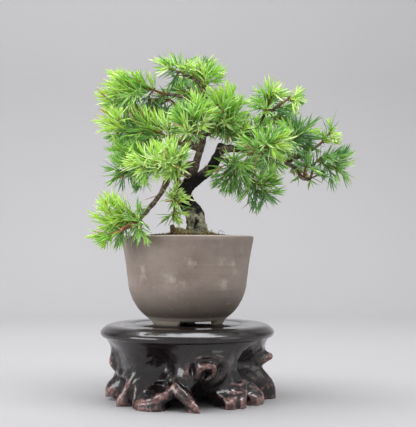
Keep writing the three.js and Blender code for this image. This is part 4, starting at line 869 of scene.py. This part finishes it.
# Foliage: each mass has the middle and half sizes of its space in millimetres, its stem and the tips of
# its main shoots, as (across, down, depth): two pixels of the photograph and millimetres behind the pot's
# axis. It grows on the bough of its own name or "on" another limb, and "twigs" more shoots stand towards
# the back by the rule.
masses = {
    "apex": {
        "at": (-10.6, -1, 224.5), "size": (19.8, 17, 11.6), "twigs": 1, "tint": "mid",
        "stem": [(183, 73, -1), (172, 68, -3), (167, 64.5, -4)],
        "lime": [(163, 62, -5), (167, 67, -7), (187, 66, -8)], "fresh": [(173, 62, 2), (190, 65, 6)],
        "mid": [(178, 63, 4), (184, 80, -6)], "deep": [(175, 77, 3)]},
    "apex_right": {
        "on": "trunk", "at": (11.9, 1, 223.5), "size": (14.4, 16, 11.7), "twigs": 1, "tint": "fresh",
        "stem": [(204.5, 86, 0), (203, 78, 0), (202, 70, 0)],
        "lime": [(200, 66, -3), (206, 65, 3), (195, 68, -8), (204, 72, -10)],
        "fresh": [(212, 74, -4), (213, 80, 2), (198, 74, 8)], "mid": [(209, 70, 10)]},
    "upper_left": {
        "at": (-38.9, 1, 209.1), "size": (26.1, 19, 15.8), "twigs": 7, "tint": "mid",
        "stem": [(159, 91, 1), (149.6, 87.8, 0), (139, 89.2, -2), (128, 96, -4), (119, 104.5, -5)],
        "lime": [(117, 76, -2), (124, 75, 4), (113, 84, -6), (109, 91, -3), (106, 98, -5), (141, 80, 0), (152, 83, 1)],
        "fresh": [(130, 99, -10), (132, 77, -4), (110, 103, 2), (120, 84, 9), (137, 92, -12)],
        "mid": [(135, 108, 0), (127, 105, 8)], "deep": [(146, 111, 4)]},
    "upper_under": {
        "at": (-19.7, 13, 199.6), "size": (14, 14, 11.2), "twigs": 4, "tint": "deep",
        "stem": [(170, 99, 11), (160, 99, 10), (152, 101, 8)], "mid": [(176, 103, 14)],
        "deep": [(153, 108, 6), (161, 109, 8), (169, 108, 8), (163, 95, 16), (148, 104, 12)]},
    "left": {
        "at": (-35, -12, 184.4), "size": (28.8, 17, 13.4), "twigs": 7, "tint": "mid",
        "stem": [(172, 139, -12), (163, 134, -13), (150, 130.5, -14), (139, 131, -14), (127, 130, -13)],
        "lime": [(107, 122, -12), (107, 113, -8), (112, 128, -17), (116, 118, -16), (137, 115, -10), (147, 120, -18),
                 (156, 121, -12), (165, 124, -20)],
        "fresh": [(126, 118, -6), (179, 144, -14), (134, 141, -18), (115, 135, -5)],
        "mid": [(128, 139, -8), (146, 141, -8), (157, 142, -10)]},
    "centre": {
        "at": (3.5, -25, 190.3), "size": (15.7, 18, 17), "twigs": 5, "tint": "mid",
        "stem": [(191, 133, -18), (191.5, 127, -22), (195, 121, -25)],
        "lime": [(205, 112, -30), (203, 126, -33), (186, 131, -32)],
        "fresh": [(199, 104, -26), (186, 115, -22), (180, 121, -24), (192, 112, -34)],
        "mid": [(208, 119, -18), (199, 134, -30), (194, 116, -12)]},
    "shoulder": {
        "at": (23.5, -6, 199.6), "size": (15.6, 18, 19.7), "twigs": 6, "tint": "mid",
        "stem": [(228, 124, -5), (229, 119, -6), (228.5, 113, -7)],
        "lime": [(216, 94, -8), (222, 95, -4), (229.5, 101, -9), (234, 105, -2), (214, 105, -12), (226, 124, -18)],
        "fresh": [(241, 114, -8), (216, 113, -16), (239, 121, -16), (222, 103, 6)],
        "mid": [(236, 108, 6), (212, 132, -6), (222, 135, -4)], "deep": [(232, 136, 2), (217, 128, 6)]},
    "front_left": {
        "at": (-15.8, -32, 158.7), "size": (25.9, 20, 16.2), "twigs": 6, "tint": "fresh",
        "stem": [(178, 168, -24), (171.4, 165.7, -29), (160, 165, -33), (150, 165, -36)],
        "lime": [(133, 163.5, -40), (144, 155, -36), (152, 154, -42), (140, 170, -44), (182, 167, -36),
                 (169, 174, -40), (157, 174, -44), (161, 151, -34), (172, 154, -40), (163, 161, -48)],
        "fresh": [(146, 174, -34), (181, 158, -34)]},
    "left_lower": {
        "at": (-37, -12, 157.6), "size": (18.8, 18, 20.1), "twigs": 4, "tint": "mid",
        "stem": [(140, 165, -10), (131, 168, -11), (123, 172, -13)],
        "fresh": [(116, 152, -8), (120, 146, -14), (118, 162, -18), (115, 178, -14), (126, 150, -4),
                  (134, 152, -16), (138, 175, -20)],
        "mid": [(114, 170, -10), (130, 160, 2)], "deep": [(122, 180, -8), (132, 180, -14), (142, 181, -12)]},
    "low_left": {
        "on": "low_left_lower_bough", "root": (-28.5, -30, 122.3), "at": (-41, -38, 117.1),
        "size": (21.7, 20, 20.5), "twigs": 3, "tint": "fresh",
        "stem": [(142, 216.7, -31), (132, 224, -34), (121, 230, -38)],
        "lime": [(112, 202, -40), (118, 204, -36), (124, 206, -44), (106, 208, -42), (102, 219, -38), (101, 235, -40)],
        "fresh": [(107, 238, -42), (144, 235, -44), (112, 226, -26)], "mid": [(139, 232, -48)],
        "deep": [(121, 236, -34)]},
    "trunk_shoot": {
        "on": "trunk", "root": (-3.1, -1, 133.9), "at": (-9.9, -17, 132.5), "size": (17.9, 14, 18.6), "twigs": 0,
        "tint": "lime", "needle": 0.7, "stem": [(177, 203, -12), (175, 198.5, -17), (174, 205, -20), (174, 213.5, -22)],
        "lime": [(179, 195, -26), (171, 196, -25), (175, 191, -25), (181, 200, -26), (182, 214, -26), (177, 219, -25)],
        "fresh": [(170, 216, -22)]},
    "right_top": {
        "at": (54.7, 4, 204.2), "size": (14.5, 16, 16.6), "twigs": 4, "tint": "mid",
        "stem": [(268, 108, 4), (269, 101, 4), (269.5, 96, 4)], "lime": [(269.7, 90, 3), (275, 91, -4), (279, 95, 2)],
        "fresh": [(264, 93, 6), (261, 101, 0), (266, 112, -8)], "mid": [(260, 107, -4), (278, 107, 8), (272, 100, 12)],
        "deep": [(281, 111, 0)]},
    "right_tip": {
        "at": (72.7, -2, 204.4), "size": (12.3, 12, 8.9), "twigs": 0, "tint": "lime",
        "brush": 0.62, "stem": [(284, 101, -1), (290, 98, -2), (295, 97, -3)],
        "lime": [(299, 96, -3), (297, 98.5, -7), (296, 94, 2), (293, 101, -4)]},
    "right_back": {
        "at": (62.9, 20, 194.4), "size": (14.9, 15, 12.1), "twigs": 4, "tint": "mid",
        "stem": [(284, 118, 15), (289, 121, 17)], "mid": [(291, 113, 22), (285, 111, 16)],
        "deep": [(297, 122, 20), (300, 125, 18), (280, 120, 26), (294, 128, 12)]},
    "right_mid": {
        "at": (75.9, -4, 178.9), "size": (19, 17, 15.6), "twigs": 5, "tint": "deep",
        "stem": [(289, 142, -3), (296, 138, -4), (300, 134, -5)],
        "fresh": [(309, 131, -5), (288, 127, -8), (286, 139, -14)], "mid": [(290, 131, 6), (280, 144, 0)],
        "deep": [(298, 126, -6), (303, 128, 2), (306, 143, -2), (296, 147, -8), (300, 151, -6)]},
    "right_front": {
        "at": (53, -29, 172), "size": (19.5, 18, 14.3), "twigs": 4, "tint": "mid",
        "stem": [(258, 150, -20), (263, 147, -25), (268, 144, -30)],
        "lime": [(280, 145, -36), (272, 148, -34), (278, 138, -26)],
        "fresh": [(248, 141, -28), (260, 138, -32), (269, 136, -30), (276, 152, -32), (266, 143, -36)],
        "mid": [(262, 156, -36), (246, 149, -32), (285, 151, -24)], "dead": [(250, 153, -27), (257, 150, -29)]},
    "right_under": {
        "at": (32.3, -6, 153.5), "size": (20.3, 19, 18.3), "twigs": 3, "tint": "mid",
        "stem": [(231, 162, -7), (236, 168, -8), (244, 174, -9), (249, 179, -10)],
        "fresh": [(217, 169, -8), (245, 164, -18), (232, 158, -16), (251, 160, -4)],
        "mid": [(220, 179, -10), (228, 181, -6), (230, 186, -14), (238, 186, -4), (254, 168, -12), (226, 160, -2),
                (240, 172, -22)]},
    "right_hang": {
        "at": (47.4, -13, 142.8), "size": (16.1, 15, 16.1), "twigs": 2, "tint": "deep",
        "stem": [(253, 180, -12), (260, 186, -14), (265, 191, -15)], "fresh": [(262, 178, -22), (270, 173, -18)],
        "mid": [(275, 192, -16), (272, 184, -18), (246, 192, -12)],
        "deep": [(271, 197, -12), (262, 201, -16), (255, 201, -10)]},
    "far_right_top": {
        "on": "right_upper_bough", "at": (98.7, 3, 179.2), "size": (11.7, 15, 13.8), "twigs": 0, "tint": "fresh",
        "needle": 0.6, "stem": [(324, 140, 3), (328, 135, 3), (331, 131, 3)],
        "lime": [(335, 133, 0), (336, 138, -4), (333, 141, 1)], "fresh": [(322, 134, 7), (331, 126, 3)]},
    "far_right": {
        "on": "right_lower_bough", "at": (97, -4, 159.2), "size": (18.4, 18, 17), "twigs": 2, "tint": "deep",
        "stem": [(318, 161, -3), (327, 164, -5), (336, 167, -6)], "fresh": [(343, 165, -8)],
        "mid": [(342, 172, -6), (337, 173, -10), (329, 158, -14)],
        "deep": [(341, 157, -6), (334, 154, -3), (331, 176, -5), (322, 175, -8), (325, 156, 2), (315, 170, 4)]},
    "far_right_inner": {
        "on": "right_lower_bough", "root": (79.6, -1, 150.6), "at": (79.3, -10, 156.5), "size": (11.4, 12, 10.8),
        "twigs": 0, "tint": "mid", "stem": [(305, 171, -6), (307, 166, -9)],
        "mid": [(311, 168, -10), (309, 161, -8)], "deep": [(303, 165, -12)]},
    "right_centre": {
        "at": (42.8, 2, 181.8), "size": (15.1, 15, 11), "twigs": 4, "tint": "mid",
        "stem": [(246, 134, 1), (253, 131, 0)], "lime": [(245, 128, -8)],
        "fresh": [(262, 124, 0), (256, 122, -6), (236, 131, -8)], "mid": [(266, 130, 4), (252, 138, 6), (243, 123, 2)]},
    "back_left": {
        "at": (-33.1, 32, 184.8), "size": (23.9, 20, 19.5), "twigs": 16, "tint": "fresh",
        "stem": [(164, 129, 26), (152, 124, 30), (140, 120, 34)]},
    "back_top": {
        "at": (-0.4, 29, 214.6), "size": (22.3, 19, 17.3), "twigs": 13, "tint": "fresh",
        "stem": [(197, 92, 20), (192, 88, 25), (184, 80, 32)]},
    "back_centre": {
        "at": (-1.5, 43, 193.1), "size": (20.6, 18, 18.4), "twigs": 14, "tint": "fresh",
        "stem": [(193, 131, 30), (190, 128, 37), (183, 120, 45)]},
    "back_right": {
        "at": (28.5, 33, 191.5), "size": (20.3, 20, 15.9), "twigs": 15, "tint": "fresh",
        "stem": [(224, 125, 24), (228, 123, 29), (235, 118, 36)]},
    "back_right_low": {
        "at": (57.4, 32, 167.5), "size": (22.4, 19, 18.1), "twigs": 13, "tint": "mid",
        "stem": [(265, 158, 22), (270, 157, 27), (279, 153, 35)]},
}
foliage = {
    "needleLength": 15.6, "needleWidth": 1.22,
    "whorlGap": 2.7, "oldWhorlGap": 3.5,
    "leanAtFoot": 58, "leanAtTip": 22, # degrees between a needle and its shoot
    "missing": 0.08, "deadShare": 0.012, # shares of the needles
    "twigRadius": 0.55,
    "sideGap": 11, "sideLength": (6, 11), # shoots from a shoot
    "slack": 4.5, # a needle of a main shoot may leave its mass's space by this
    "gap": {"limb": 0.25, "soil": 1.5, "rim": 0.8}, # needles keep this far from the rest
    "needlesEach": 6000, # in one mesh, of 30 triangles each
    # shares of lime, fresh, mid and deep green among the ruled twigs
    "tints": {"lime": (0.5, 0.35, 0.15, 0), "fresh": (0.25, 0.4, 0.27, 0.08), "mid": (0.05, 0.3, 0.45, 0.2),
              "deep": (0, 0.1, 0.4, 0.5)},
    # sides of a needle: back and keel, then the paler groove
    "greens": {"lime": ("#b4dd5a", "#d2ed9c"), "fresh": ("#94cb50", "#b3da88"), "mid": ("#76a94c", "#9ac27c"),
               "deep": ("#5d8b53", "#8cb086"), "olive": ("#8f9a45", "#b3b56a"),
               "dead": ("#b27443", "#c9945f"), "scale": ("#7c4a26", "#9a6436")},
    "greenTwigs": ("#8a8f3c", "#b39a48"), "brownTwigs": ("#5c3d24", "#94683a"),
    # boughs with short needles of their own: how many spurs, and how far along they start
    "spurs": {"right_centre_bough": (20, 0.1), "upper_left_bough": (3, 0.1), "right_upper_bough": (16, 0.1),
              "right_top_bough": (9, 0.2), "apex_bough": (7, 0.2), "low_left_lower_bough": (5, 0.5),
              "right_lower_bough": (7, 0.3), "left_bough": (5, 0.4), "right_mid_bough": (5, 0.2)},
    # single needles that stand out: foot and tip in the photograph, depth, colour
    "strays": [((123.5, 176.5), (109, 177.5), -16, "dead"), ((104, 230), (89.5, 234.5), -42, "dead"),
               ((160.2, 195.2), (143, 199.2), -20, "dead"), ((183.5, 179.5), (170.7, 188.9), -22, "dead"),
               ((128, 110.3), (137.7, 125.7), -24, "dead"), ((186, 127), (168.5, 121.6), -34, "dead"),
               ((119.5, 171), (102, 159), -16, "deep"), ((136, 132.7), (131, 153), -26, "deep"),
               ((148, 206.8), (124, 204.3), -34, "fresh"), ((143, 211.5), (118, 210.8), -36, "fresh"),
               ((174.5, 214), (193.6, 204.2), -24, "fresh"), ((173, 203.5), (197, 210), -22, "fresh"),
               ((172.5, 214.6), (153.5, 214.5), -18, "fresh"), ((171, 215.5), (154.5, 226.5), -20, "mid"),
               ((329.5, 130.5), (339.8, 107), 3, "mid"), ((328, 130), (321.5, 115.5), 4, "deep"),
               ((331, 130), (340.8, 119.5), 1, "mid"), ((298.5, 179.3), (290.8, 180.6), -2, "deep"),
               ((265, 193.5), (252.8, 211.5), -15, "deep"), ((268, 195), (259.5, 210), -16, "deep")],
}
tintNames = list(foliage["greens"])
deadTint = tintNames.index("dead")
limbLine = np.concatenate([smoothPath(path, 1.2) for path in limbs.values()])
cadLow, cadHigh = [np.array(corner) for corner in cadBounds]
spare = (cadHigh - cadLow) * 0.018 # how far the crown may pass the solids
reachLow, reachHigh = [(corner - potAxis) * 1000 for corner in (cadLow - spare, cadHigh + spare)]


# The place at a depth behind the pot's axis that shows at a pixel of the photograph.
def seenAt(across, down, depth):
    scale = view["mmPerPixel"] * (view["distance"] + depth) / view["distance"]
    return np.array([cameraAside + (across - view["imageWidth"] / 2) * scale, depth,
                     view["height"] + (view["horizonY"] - down) * scale])


def outsideOf(mass, points):
    size = np.array(mass["size"], float)
    return (np.linalg.norm((points - mass["at"]) / size, axis=-1) - 1) * size.min()


# Whether points keep to the crown's spaces, off the limbs, the soil and the pot.
def keepsTo(mass, points, slack):
    gap = foliage["gap"]
    fits = outsideOf(mass, points) <= slack
    for other in masses.values():
        fits |= outsideOf(other, points) <= 0.5
    away = np.linalg.norm(points[..., None, :] - limbLine[:, :3], axis=-1) - limbLine[:, 3]
    fits &= away.min(-1) > gap["limb"]
    fits &= ((points >= reachLow) & (points <= reachHigh)).all(-1)
    wide = np.hypot(points[..., 0], points[..., 1])
    return fits & ((points[..., 2] > potRim + gap["soil"]) | (wide > rimRadius + gap["rim"]))


# A shoot from the stem to its tip: it leaves where the stem faces the tip, and bows with it.
def shootTo(tip, stem, random, thick):
    along = alongOf(stem)
    way = tip - stem[:, :3]
    length = np.linalg.norm(way, axis=1)
    facing = np.einsum("ij,ij->i", way, along) / np.maximum(length, 1e-6)
    best = int((length * (1.7 - np.minimum(facing, 0.85))).argmin())
    foot = stem[best, :3]
    length = np.linalg.norm(tip - foot)
    if length < 3:
        return None
    bow = foot + (tip - foot) * 0.45 + along[best] * length * 0.14 + (0, 0, length * 0.03)
    bow += random.normal(0, 0.04, 3) * length
    return smoothPath([[*foot, thick], [*bow, thick * 0.85], [*tip, thick * 0.55]], 0.8)


# Shoots of one mass, each a path, a tint and a kind: the stem, the main shoots and the ruled twigs.
def growShoots(name, mass, random):
    thick = foliage["twigRadius"]
    bough = limbs[mass.get("on", name + "_bough")]
    marks = [mass.get("root", bough[-1][:3])] + [seenAt(*mark) for mark in mass["stem"]]
    girth = np.linspace(1.75, 0.85, len(marks)) * thick
    stem = smoothPath(np.column_stack([marks, girth]), 0.8)
    shoots = [(stem, tintNames.index("mid"), "stem")]
    for tint in ("lime", "fresh", "mid", "deep", "dead"):
        for mark in mass.get(tint, ()):
            path = shootTo(seenAt(*mark), stem, random, thick)
            if path is not None:
                shoots.append((path, tintNames.index(tint), "main"))
    size = np.array(mass["size"], float)
    spin = random.random() * 2 * math.pi
    leading = len(shoots) > 1
    for i in range(mass["twigs"]):
        rise = 1 - 2 * (i + 0.5) / mass["twigs"]
        turn = i * 2.39996 + spin # by the golden angle, all round
        if leading: # or spread over the back half
            rise *= 0.8
            turn = math.pi / 2 + (i * 0.61803 % 1 - 0.5) * math.pi * 1.05
        flat = math.sqrt(1 - rise * rise)
        out = np.array([flat * math.cos(turn), flat * math.sin(turn), rise])
        reach = max(1 / np.linalg.norm(out / size) - foliage["needleLength"] * random.uniform(0.5, 0.75), 4)
        path = shootTo(np.array(mass["at"]) + out * reach, stem[len(stem) // 4:], random, thick)
        if path is not None:
            shoots.append((path, int(random.choice(4, p=foliage["tints"][mass["tint"]])), "main"))
    for path, tint, kind in list(shoots):
        shoots += sideShoots(mass, path, tint, random)
    return shoots


# Short shoots to alternate sides of another, one in three of a neighbouring tint.
def sideShoots(mass, path, twigTint, random):
    shoots = []
    thick = foliage["twigRadius"]
    along = alongOf(path)
    step = np.linalg.norm(path[1, :3] - path[0, :3])
    gap = foliage["sideGap"] / step
    place = gap * random.uniform(0.5, 0.9)
    side = unit(np.cross(along[0], random.normal(0, 1, 3)))
    while place < len(path) - 3 / step:
        k = int(place)
        foot = path[k, :3]
        side = squared(unit(-side + random.normal(0, 0.4, 3)), along[k])
        lean = random.uniform(0.5, 0.85)
        way = unit(along[k] * math.cos(lean) + side * math.sin(lean) + (0, 0, 0.1))
        length = random.uniform(*foliage["sideLength"]) * (1.15 - 0.5 * k / len(path))
        tip = foot + way * length
        if twigTint != deadTint and keepsTo(mass, tip, slack=-foliage["needleLength"] * 0.4):
            bow = foot + way * length * 0.5 + along[k] * length * 0.05
            tint = twigTint
            if random.random() < 0.3:
                tint = min(max(tint + random.integers(-1, 2), 0), 3)
            shoot = smoothPath([[*foot, thick * 0.66], [*bow, thick * 0.56], [*tip, thick * 0.42]], 0.8)
            shoots.append((shoot, int(tint), "side"))
        place += gap * random.uniform(0.7, 1.3)
    return shoots


# Whorls of three needles along every shoot: foot, way, upper side, length and colour of each.
def growNeedles(mass, shoots, random):
    rows = []

    # one needle: it leans from the shoot's way towards an angle round it
    def put(foot, way, side, up, angle, lean, *rest):
        out = side * math.cos(angle) + up * math.sin(angle)
        rows.append((foot, way * math.cos(lean) + out * math.sin(lean),
                     way * math.sin(lean) - out * math.cos(lean), *rest))

    for path, tint, kind in shoots:
        reach = np.concatenate([[0], np.cumsum(np.linalg.norm(np.diff(path[:, :3], axis=0), axis=1))])
        full = reach[-1]
        along = alongOf(path)
        side = unit(np.cross(along[0], random.normal(0, 1, 3)))
        size, place = {"stem": (0.85, 0.45 * full), "main": (1, 0.14 * full), "side": (0.9, 1.0)}[kind]
        longest = foliage["needleLength"] * size * mass.get("needle", 1) * (0.5 if tint == deadTint else 1)
        gap = foliage["whorlGap"] if tint < 2 else foliage["oldWhorlGap"]
        turn = random.random() * 6
        slack = foliage["slack"] if kind == "main" else 1
        while place < full + 0.01:
            share = place / full
            foot = np.array([np.interp(place, reach, path[:, c]) for c in range(3)])
            way = along[min(int(share * (len(along) - 1)), len(along) - 1)]
            side = squared(side, way)
            up = np.cross(way, side)
            for k in range(3):
                if random.random() < foliage["missing"]:
                    continue
                angle = turn + k * 2.0944 + random.normal(0, 0.18)
                lean = foliage["leanAtFoot"] + (foliage["leanAtTip"] - foliage["leanAtFoot"]) * share
                lean = math.radians(lean * mass.get("brush", 1) + random.normal(0, 6))
                length = longest * random.uniform(0.82, 1.0) * (1 - 0.22 * share ** 3 - 0.15 * (1 - share) ** 2)
                older = share < 0.35 and tint < 3 and random.random() < 0.55
                dead = random.random() < foliage["deadShare"]
                put(foot, way, side, up, angle, lean, length, deadTint if dead else tint + older, slack)
            turn += 1.0472
            place += gap * random.uniform(0.85, 1.15)
        for k in range(5): # the tuft at the shoot's tip
            lean = math.radians(random.uniform(3, 24))
            angle = k * 1.2566 + random.random()
            colour = max(tint - 1, 0) if tint != deadTint and random.random() < 0.4 else tint
            put(path[-1, :3], along[-1], side, up, angle, lean, longest * random.uniform(0.5, 0.82), colour, slack)
        for k in range(6 if tint < 2 and kind != "stem" else 0): # bud scales round the shoot's foot
            lean = math.radians(random.uniform(35, 75))
            put(path[1, :3], along[0], side, up, k * 1.0472, lean, random.uniform(1.6, 2.8),
                tintNames.index("scale"), 2)
    feet, ways, tops, lengths, colours, slacks = [np.array(column) for column in zip(*rows)]
    ways, tops = unit(ways), unit(tops)
    keep = np.zeros(len(feet), bool)
    used = lengths.copy()
    for share in (1, 0.85, 0.7, 0.55): # a needle that doesn't fit is tried shorter, then left out
        test = np.flatnonzero(~keep)
        along = (lengths[test] * share)[:, None] * (0.3, 0.55, 0.8, 1.0)
        spots = feet[test][:, None] + ways[test][:, None] * along[..., None]
        which = test[keepsTo(mass, spots, slacks[test][:, None]).all(1)]
        keep[which] = True
        used[which] = lengths[which] * share
    return feet[keep], ways[keep], tops[keep], used[keep], colours[keep]


# Short olive needles in spurs along the young boughs, then the single ones.
def spursAndStrays(random):
    rows = []
    for name, (count, start) in foliage["spurs"].items():
        path = smoothPath(limbs[name], 1.0)
        along = alongOf(path)
        for place in np.linspace(start, 0.97, count):
            k = min(int(place * len(path)), len(path) - 1)
            out = squared(random.normal(0, 1, 3) + (0, -0.3, 0.5), along[k])
            foot = path[k, :3] + out * path[k, 3] * 0.8
            for _ in range(6):
                way = unit(out * 1.1 + along[k] * 0.5 + random.normal(0, 0.6, 3))
                top = unit(np.cross(way, random.normal(0, 1, 3)))
                tint = tintNames.index(str(random.choice(["olive", "fresh", "dead"], p=(0.5, 0.35, 0.15))))
                rows.append((foot, way, top, random.uniform(4, 8.5), tint))
    for foot, tip, depth, tint in foliage["strays"]:
        foot, tip = seenAt(*foot, depth), seenAt(*tip, depth + random.normal(0, 1.5))
        way = unit(tip - foot)
        top = unit(np.cross(way, (0.2, 1, 0.1)))
        rows.append((foot, way, top, np.linalg.norm(tip - foot), tintNames.index(tint)))
    return [np.array(column) for column in zip(*rows)]


# One needle: along, across and up in shares of its length and half width, with a groove and a keel.
def needleShape():
    points = []
    for t, half in ((0, 0.5), (0.1, 0.9), (0.45, 1.0), (0.8, 0.55)):
        points += [(t, -half, 0.15 * half), (t, 0, -0.05 * half), (t, half, 0.15 * half), (t, 0, -0.6 * half)]
    points.append((1, 0, -0.1))
    quads = [(ring * 4 + k, ring * 4 + (k + 1) % 4, ring * 4 + 4 + (k + 1) % 4, ring * 4 + 4 + k)
             for ring in range(3) for k in range(4)]
    quads.append((3, 2, 1, 0))
    triangles = [(12 + k, 12 + (k + 1) % 4, 16) for k in range(4)]
    groove = [k % 4 < 2 for k in range(12)] + [False, True, True, False, False]
    return np.array(points), np.array(quads), np.array(triangles), np.array(groove)


def needleMesh(name, grown, materials, stands):
    shape, quads, triangles, groove = needleShape()
    feet, ways, tops, lengths, colours = [np.concatenate(part) for part in zip(*grown)]
    count = len(feet)
    across = np.cross(ways, tops)
    random = np.random.default_rng(count)
    half = foliage["needleWidth"] / 2 * random.uniform(0.85, 1.1, count)
    bend = random.normal(0.04, 0.05, count) * lengths
    sway = random.normal(0, 0.03, count) * lengths
    t, u, w = shape.T
    points = (feet[:, None] + ways[:, None] * (lengths[:, None] * t)[..., None]
              + across[:, None] * (half[:, None] * u + sway[:, None] * t**2)[..., None]
              + tops[:, None] * (half[:, None] * w + bend[:, None] * t**2)[..., None])
    sides = [(colours[:, None] * 2 + part).ravel() for part in (groove[:len(quads)], groove[len(quads):])]
    settle(copiesOf(name, points, quads, triangles), materials, stands, smooth=False,
           dealt=np.concatenate(sides))
    print(name, count, "needles")


def growFoliage():
    skins = [needleSkin(name + part, colour, roughness) for name, colours in foliage["greens"].items()
             for part, colour, roughness in zip(("_needle", "_needle_groove"), colours, (0.38, 0.55))]
    number, held, stands, twigs = 1, 0, [], []
    batch = [spursAndStrays(np.random.default_rng(5))]
    for i, (name, mass) in enumerate(masses.items()):
        random = np.random.default_rng(101 + 17 * i)
        shoots = growShoots(name, mass, random)
        grown = growNeedles(mass, shoots, random)
        twigs += [(tube(path[::2], 5), tint) for path, tint, kind in shoots]
        if held + len(grown[0]) > foliage["needlesEach"]:
            needleMesh("needles_" + str(number), batch, skins, stands)
            number, held, stands, batch = number + 1, 0, [], []
        batch.append(grown)
        stands.append("mass_" + name)
        held += len(grown[0])
    needleMesh("needles_" + str(number), batch, skins, stands)
    for name, skin, tones, tints in (("green_twigs", "yellow_green_shoot", "greenTwigs", (0, 1)),
                                     ("brown_twigs", "brown_shoot", "brownTwigs", (2, 3, deadTint))):
        shells = [shell for shell, tint in twigs if tint in tints]
        settle(gathered(name, shells), [youngShootSkin(skin, *foliage[tones])])
        print(name, len(shells), "twigs")


growFoliage()
print("foliage grown")


# Soil: crumbs and grit up to the trunk's foot, with moss, a stub and hair roots on it.
soil = {
    # radius and height of the surface, and below its edge
    "surface": [(0, 110.4), (19, 110.4), (25, 109.8), (33, 108.6), (39.8, 106.4), (40.6, 106.0)],
    "below": [(33.5, 92.4), (37.5, 99.4)],
    # humps of moss and bark crumbs: x, y, height, radius, share of the moss
    "humps": [(-7.5, -5.5, 2.8, 3, 0.26), (-4.5, -8, 2.8, 3, 0.22), (0, -9.5, 1.8, 3, 0.18),
              (14, -6, 1.4, 3, 0.12), (-3, 10, 2, 4, 0.12), (13, 7, 1.6, 3.5, 0.1)],
    "crumbMm": 3.5, "crumbDepth": 0.55,
    "grit": 2600, "gritMm": (0.7, 1.5), "gritReach": 40, "gritShares": (0.5, 0.3, 0.2),
    "stub": [(-8.6, -7, 108, 2.6), (-9.4, -8, 113.6, 2.1), (-10.6, -8.6, 117, 1.5)],
    "strands": 14,
    "mossTufts": 2600, "tuftLength": (0.9, 2.6), "tuftWidth": 0.22, "mossShares": (0.62, 0.16, 0.22),
}


def soilHeight(x, y):
    height = np.interp(np.hypot(x, y), *np.transpose(soil["surface"]))
    for humpX, humpY, rise, wide, share in soil["humps"]:
        height = height + rise * np.exp(-((x - humpX) ** 2 + (y - humpY) ** 2) / wide ** 2)
    return height


def fillSoil():
    turn = fullTurn(180)
    rings = [aroundAxis(turn, radius, height) for radius, height in soil["below"]]
    for radius in np.linspace(soil["surface"][-1][0], 0.6, 56):
        x, y = radius * np.cos(turn), radius * np.sin(turn)
        rough = np.array([noise.fractal(Vector((a, b, 0)) / soil["crumbMm"], 0.8, 2, 4) for a, b in zip(x, y)])
        rough *= soil["crumbDepth"] * (radius < soil["gritReach"])
        rings.append(np.column_stack([x, y, soilHeight(x, y) - 0.3 + rough]))
    fill = gathered("soil_fill", [ringed(np.array(rings))])
    settle(fill, [earth("potting_soil", 2.2, 0.4, "#1f1712", "#43342a", "#6b5a48")], ["soil"])


def scatterGrit(random):
    lump = bmesh.new()
    bmesh.ops.create_icosphere(lump, subdivisions=1, radius=1)
    lump.verts.index_update()
    shape = np.array([corner.co for corner in lump.verts])
    faces = np.array([[corner.index for corner in face.verts] for face in lump.faces])
    lump.free()
    count = soil["grit"]
    out = soil["gritReach"] * np.sqrt(random.random(count))
    turn = random.random(count) * 2 * math.pi
    x, y = out * np.cos(turn), out * np.sin(turn)
    spots = np.column_stack([x, y, soilHeight(x, y) + random.uniform(-0.2, 0.35, count)])
    sizes = random.uniform(*soil["gritMm"], count)[:, None, None] * random.uniform(0.75, 1.2, (count, 1, 3))
    crumbs = shape[None] * sizes * random.uniform(0.8, 1.15, (count, len(shape), 1)) * 0.6 + spots[:, None]
    settle(copiesOf("soil_grit", crumbs, faces),
           [earth("brown_grit", 0.8, 0.15, "#5f4a35", "#4a3828", "#2c2119"),
            earth("ochre_grit", 0.8, 0.15, "#987a50", "#7d6240", "#3f2f20"),
            earth("black_grit", 0.8, 0.15, "#302924", "#241e1a", "#1c1612")],
           smooth=False, dealt=np.repeat(random.choice(3, count, p=soil["gritShares"]), len(faces)))


def addStubAndRoots(random):
    shells = [tube(limbPath(soil["stub"], 0.8, 5), 12)]
    for _ in range(soil["strands"]):
        turn = random.random() * 2 * math.pi
        out = random.uniform(9, 19)
        x, y = out * math.cos(turn) + 5, out * math.sin(turn)
        z = float(soilHeight(x, y))
        leanX, leanY = random.normal(0, 1.1, 2)
        tall = random.uniform(1.2, 4)
        path = [(x, y, z - 0.5, 0.2), (x + leanX * 0.6, y + leanY * 0.6, z + tall, 0.16),
                (x + leanX * 2.2, y + leanY * 2.2, z + tall * 0.7, 0.1)]
        shells.append(tube(smoothPath(path, 0.8), 5))
    settle(gathered("stub_and_roots", shells), [youngShootSkin("dry_stem_skin", "#4a3626", "#8d7450")])


# Each tuft is one slim pointed blade.
def growMoss(random):
    tufts = soil["mossTufts"]
    humps = np.array(soil["humps"])
    spread = random.normal(0, 1, (tufts, 2)) * (2.8, 2.2)
    heap = spread + humps[random.choice(len(humps), tufts, p=humps[:, 4]), :2]
    base = np.column_stack([heap, soilHeight(*heap.T) - 0.2])
    way = unit(np.column_stack([random.normal(0, 0.7, (tufts, 2)), np.ones(tufts)]))
    long = random.uniform(*soil["tuftLength"], tufts)
    side = unit(np.cross(way, random.normal(0, 1, (tufts, 3))))
    up = np.cross(way, side)
    corners = [base + soil["tuftWidth"] * (side * math.cos(t) + up * math.sin(t)) for t in (0, 2.0944, 4.1888)]
    blades = np.stack([*corners, base + way * long[:, None]], 1)
    faces = np.array([(0, 2, 1), (0, 1, 3), (1, 2, 3), (2, 0, 3)])
    settle(copiesOf("moss", blades, faces),
           [dryMoss("straw_moss", "#e0cf97"), dryMoss("brown_moss", "#7a633e"), dryMoss("green_moss", "#64713a")],
           smooth=False, dealt=np.repeat(random.choice(3, tufts, p=soil["mossShares"]), len(faces)))


fillSoil()
soilRandom = np.random.default_rng(7)
scatterGrit(soilRandom)
addStubAndRoots(soilRandom)
growMoss(soilRandom)
print("soil filled")
